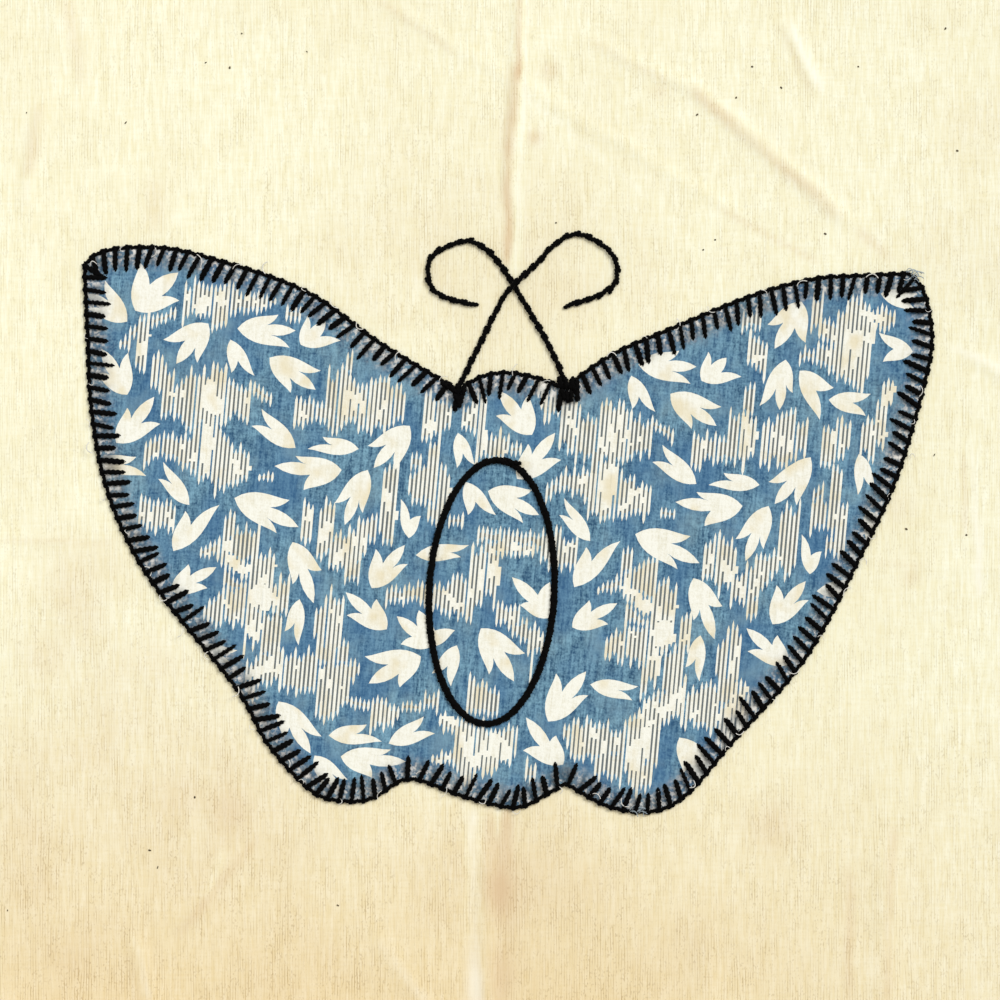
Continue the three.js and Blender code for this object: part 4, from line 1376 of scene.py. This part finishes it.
# %% Antennae
CROSSING = (4.1, 65.4)
CROSSING_REACH = 7
CROSSING_RISE = 0.9 * MM
ANTENNA_LEVEL = MUSLIN_TOP + 0.3 * MM
ANTENNAE = {
    "antenna_left": (
        (19.6, 35.6), (17.1, 42.5), (11.6, 53), CROSSING, (-0.2, 72), (-5.2, 77), (-10.2, 78.8),
        (-15.8, 77.2), (-20.8, 74), (-21.8, 69.5), (-20.8, 64.8), (-16.5, 61.7), (-8.3, 59.4),
    ),
    "antenna_right": (
        (-12.4, 34.8), (-8.3, 43), (-3.4, 53), (1, 61.4), CROSSING, (11, 71.8), (17.2, 78.2),
        (23.4, 80.9), (29.6, 78.6), (34.5, 74.2), (35.6, 69.6), (34.4, 65.2), (28.3, 61.6), (20.9, 59.4),
    ),
}
SEWN_LAST = "antenna_right"
STITCH_SPACING = 3.3 * MM

sewn_lines = []
for name, route in ANTENNAE.items():
    flat = smooth_run(np.array(route) * MM, 1.0 * MM)
    nearness = 1 - np.linalg.norm(flat / MM - np.array(CROSSING), axis=1) / CROSSING_REACH
    climb = CROSSING_RISE * smooth_step(nearness, 0, 0.75) * (name == SEWN_LAST)
    line = path_object(name + "_thread", np.column_stack([flat, ANTENNA_LEVEL + climb]), False)
    length = np.linalg.norm(np.diff(flat, axis=0), axis=1).sum()
    finished_mesh(line, OUTLINE_STITCH, {
        "Stitches": round(length / STITCH_SPACING), "Length": 5.4 * MM, "Width": 1.7 * MM, "Rise": 0.45 * MM,
        "Twist": 3.2 * MM, "Slant": math.radians(11), "Slant Spread": math.radians(5), "Seed": 8,
        "Material": thread_black,
    })
    sewn_lines.append((name, line))
print("antennae:", {name: len(line.data.polygons) for name, line in sewn_lines}, "faces")

# %% Body oval and ties
TIE_RISE = 0.6 * MM
Tie = namedtuple("Tie", "x1 y1 x2 y2")
# Stitches crowded into the notches beside the head, and where the oval's thread ends over its start
TIES = (
    Tie(452, 388, 457, 399), Tie(458, 390, 459, 402), Tie(464, 390, 461, 401), Tie(446, 386, 455, 391),
    Tie(560, 383, 563, 395), Tie(566, 384, 567, 397), Tie(572, 383, 571, 396), Tie(577, 386, 577, 396),
    Tie(559, 386, 573, 388),
    Tie(501, 461, 515, 463), Tie(512, 463, 521, 472),
)


def paired_lines(name, rows, height):
    """A mesh of separate short lines, one for each table row, at a height worked out for their ends."""
    ends = np.array([on_face(*end) for row in rows for end in ((row.x1, row.y1), (row.x2, row.y2))])
    points = np.column_stack([ends, height(ends)]).tolist()
    return mesh_object(name, points, [], [(2 * i, 2 * i + 1) for i in range(len(rows))])


oval = oval_points(120)
oval_line = path_object("body_outline_thread", np.column_stack([oval, patch_top(oval) + 0.15 * MM]), True)
finished_mesh(oval_line, OUTLINE_STITCH, {
    "Stitches": 64, "Length": 6.2 * MM, "Width": 2.2 * MM, "Rise": 0.4 * MM, "Twist": 4 * MM,
    "Slant": math.radians(8), "Slant Spread": math.radians(3), "Seed": 9, "Material": thread_black,
})
sewn_lines.append(("body_outline", oval_line))

ties = paired_lines("tie_stitches_thread", TIES, lambda ends: patch_top(ends) + TIE_RISE)
finished_mesh(ties, OUTLINE_STITCH, {
    "Stitches": 2, "Length": 3.6 * MM, "Width": 1.9 * MM, "Rise": 0.4 * MM, "Twist": 4 * MM,
    "Slant": 0.0, "Slant Spread": math.radians(9), "Seed": 10, "Material": thread_black,
})
sewn_lines.append(("edge_stitching", ties))
print("oval:", len(oval_line.data.polygons), "faces, ties:", len(ties.data.polygons))

# %% [markdown]
# ## Flecks
# Unbleached muslin keeps small brown flecks of seed husk. They are charted where they show, and one tree sets
# a small flat ball on each place, turned and sized by chance. The same tree scatters fibres later on.

# %% Scatter tree
def chance_vector(tree, low, high, seed, step):
    """A random vector between two others, with a seed of its own."""
    own_seed = add_node(tree, "ShaderNodeMath", PLUS, (seed, step))
    three_numbers = {"data_type": "FLOAT_VECTOR"}
    return add_node(tree, "FunctionNodeRandomValue", three_numbers, (low, high, None, own_seed))


def scatter_tree(name, small_shape, low_turn, high_turn, along_lines):
    """A tree that sets copies of a small shape on points or along lines, turned and sized by chance."""
    tree, given = new_tree(name, {
        "Geometry": "geometry", "Copies": int, "Size": float, "Stray": float, "Seed": int,
        "Material": "material",
    })
    points = given["Geometry"]
    if along_lines:
        curve = add_node(tree, "GeometryNodeMeshToCurve", None, {"Mesh": points})
        points = add_node(tree, "GeometryNodeResampleCurve", None, {"Curve": curve, "Count": given["Copies"]})
    aside = chance_vector(tree, (-1, -1, 0), (1, 1, 0.4), given["Seed"], 0.0)
    stray = add_node(tree, "ShaderNodeVectorMath", TIMES_SIZE, (aside, given["Stray"]))
    points = add_node(tree, "GeometryNodeSetPosition", None, {"Geometry": points, "Offset": stray})
    copies = add_node(tree, "GeometryNodeInstanceOnPoints", None, {
        "Points": points, "Instance": small_shape(tree, given["Size"]),
        "Rotation": chance_vector(tree, low_turn, high_turn, given["Seed"], 1.0),
        "Scale": chance_vector(tree, (0.5, 0.5, 0.7), (1.2, 1.2, 1), given["Seed"], 2.0),
    })
    end_tree(tree, copies, given["Material"])
    return tree


def mottled_finish(name, first, second):
    """A dull finish of two mingled tones, for scraps too small to show more."""
    material, tree, place = new_finish(name)
    mottle = slubs(tree, place, 0.8 * MM, 0.8 * MM, 1.0)
    end_finish(tree, tinted(tree, linear(first), [Tint(mottle, 0, 1, 1, second)]), 0.9)
    return material


print("scattering is ready")

# %% Flecks
FLECK_RISE = 0.15 * MM
Fleck = namedtuple("Fleck", "x y")
FLECKS = (
    Fleck(242, 34), Fleck(126, 123), Fleck(27, 113), Fleck(206, 63), Fleck(230, 68), Fleck(307, 52),
    Fleck(752, 67), Fleck(781, 88), Fleck(736, 98), Fleck(697, 115), Fleck(858, 67), Fleck(945, 29),
    Fleck(957, 151), Fleck(715, 240), Fleck(825, 234), Fleck(703, 250), Fleck(556, 223), Fleck(195, 797),
    Fleck(934, 455), Fleck(906, 529), Fleck(966, 535), Fleck(150, 850), Fleck(158, 867), Fleck(8, 910),
    Fleck(338, 905),
)


def husk(tree, size):
    """A flat scrap of seed husk."""
    ball = add_node(tree, "GeometryNodeMeshUVSphere", None, {"Segments": 7, "Rings": 4, "Radius": size})
    return add_node(tree, "GeometryNodeTransform", None, {"Geometry": ball, "Scale": (1, 0.6, 0.4)})


fleck_xy = np.array([on_face(*fleck) for fleck in FLECKS])
fleck_z = MUSLIN_TOP + muslin_lift(*fleck_xy.T) + FLECK_RISE
flecks = mesh_object("muslin_flecks", np.column_stack([fleck_xy, fleck_z]).tolist(), [])
finished_mesh(flecks, scatter_tree("Husk flecks", husk, (0, 0, 0), (0, 0, 2 * math.pi), False), {
    "Size": 0.44 * MM, "Stray": 0.0, "Seed": 3, "Material": mottled_finish("seed husk", "#75654c", "#15120f"),
})
print("flecks:", len(FLECKS), "with", len(flecks.data.polygons), "faces")

# %% [markdown]
# ## Lint and frayed tufts
# The raw edge of the butterfly sheds fine white fibres between the stitches, and at the right wing's tip and
# below the right wing its threads have frayed into small tufts. Each fibre is a bent, four-sided hair.
# Particle hair would do as well, but it would not come out as a plain mesh.

# %% Lint and tufts
FIBRE_THINNESS = 0.042
LINT_RISE = 0.5 * MM
TUFT_RISE = 0.3 * MM
Tuft = namedtuple("Tuft", "x1 y1 x2 y2")
TUFTS = (Tuft(905, 271, 913, 282), Tuft(628, 810, 641, 812))


def fibre(tree, size):
    """A bent cotton hair."""
    bends = (("Start", (0, 0, 0)), ("Middle", (0.5, 0.7, 0.25)), ("End", (1, 0, 0.05)))
    ends = {name: add_node(tree, "ShaderNodeVectorMath", TIMES_SIZE, (place, size)) for name, place in bends}
    curve = add_node(tree, "GeometryNodeCurveQuadraticBezier", None, {"Resolution": 7, **ends})
    radius = add_node(tree, "ShaderNodeMath", TIMES, (size, FIBRE_THINNESS))
    section = add_node(tree, "GeometryNodeCurvePrimitiveCircle", None, {"Resolution": 4, "Radius": radius})
    return add_node(tree, "GeometryNodeCurveToMesh", None, {
        "Curve": curve, "Profile Curve": section, "Fill Caps": True,
    })


lint_places = np.column_stack([outline, np.full(len(outline), PATCH_EDGE_TOP + LINT_RISE)])
lint = path_object("edge_lint", lint_places, True)
finished_mesh(lint, scatter_tree("Loose fibres", fibre, (-0.2, -0.1, 0), (0.2, 0.1, 2 * math.pi), True), {
    "Copies": 64, "Size": 3.2 * MM, "Stray": 2.0 * MM, "Seed": 12,
    "Material": mottled_finish("cotton lint", "#fdfbf4", "#d9d8d2"),
})
tufts = paired_lines("frayed_tufts", TUFTS, lambda ends: np.full(len(ends), PATCH_EDGE_TOP + TUFT_RISE))
finished_mesh(tufts, scatter_tree("Frayed tufts", fibre, (-0.2, -0.1, -0.6), (0.2, 0.1, 0.5), True), {
    "Copies": 9, "Size": 3.4 * MM, "Stray": 0.5 * MM, "Seed": 21,
    "Material": mottled_finish("frayed blue cotton", "#8296a4", "#c3cccf"),
})
print("lint:", len(lint.data.polygons), "faces, tufts:", len(tufts.data.polygons))

# %% [markdown]
# ## Place every piece on the frame
# The thread stands for the plain solids that hold its place, and everything rides on the one body.

# %% Attaching the pieces
Placed = namedtuple("Placed", "piece node slot")
placed = [
    Placed(muslin, "muslin_square", "muslin"),
    Placed(flecks, "muslin_square", "muslin"),
    Placed(patch, "butterfly_patch", "printed_cotton"),
    Placed(lint, "butterfly_patch", "printed_cotton"),
    Placed(tufts, "butterfly_patch", "printed_cotton"),
    Placed(edging, "edge_stitching", "black_thread"),
    *(Placed(line, name, "black_thread") for name, line in sewn_lines),
]
for row in placed:
    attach(row.piece, "root")
    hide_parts(row.node)
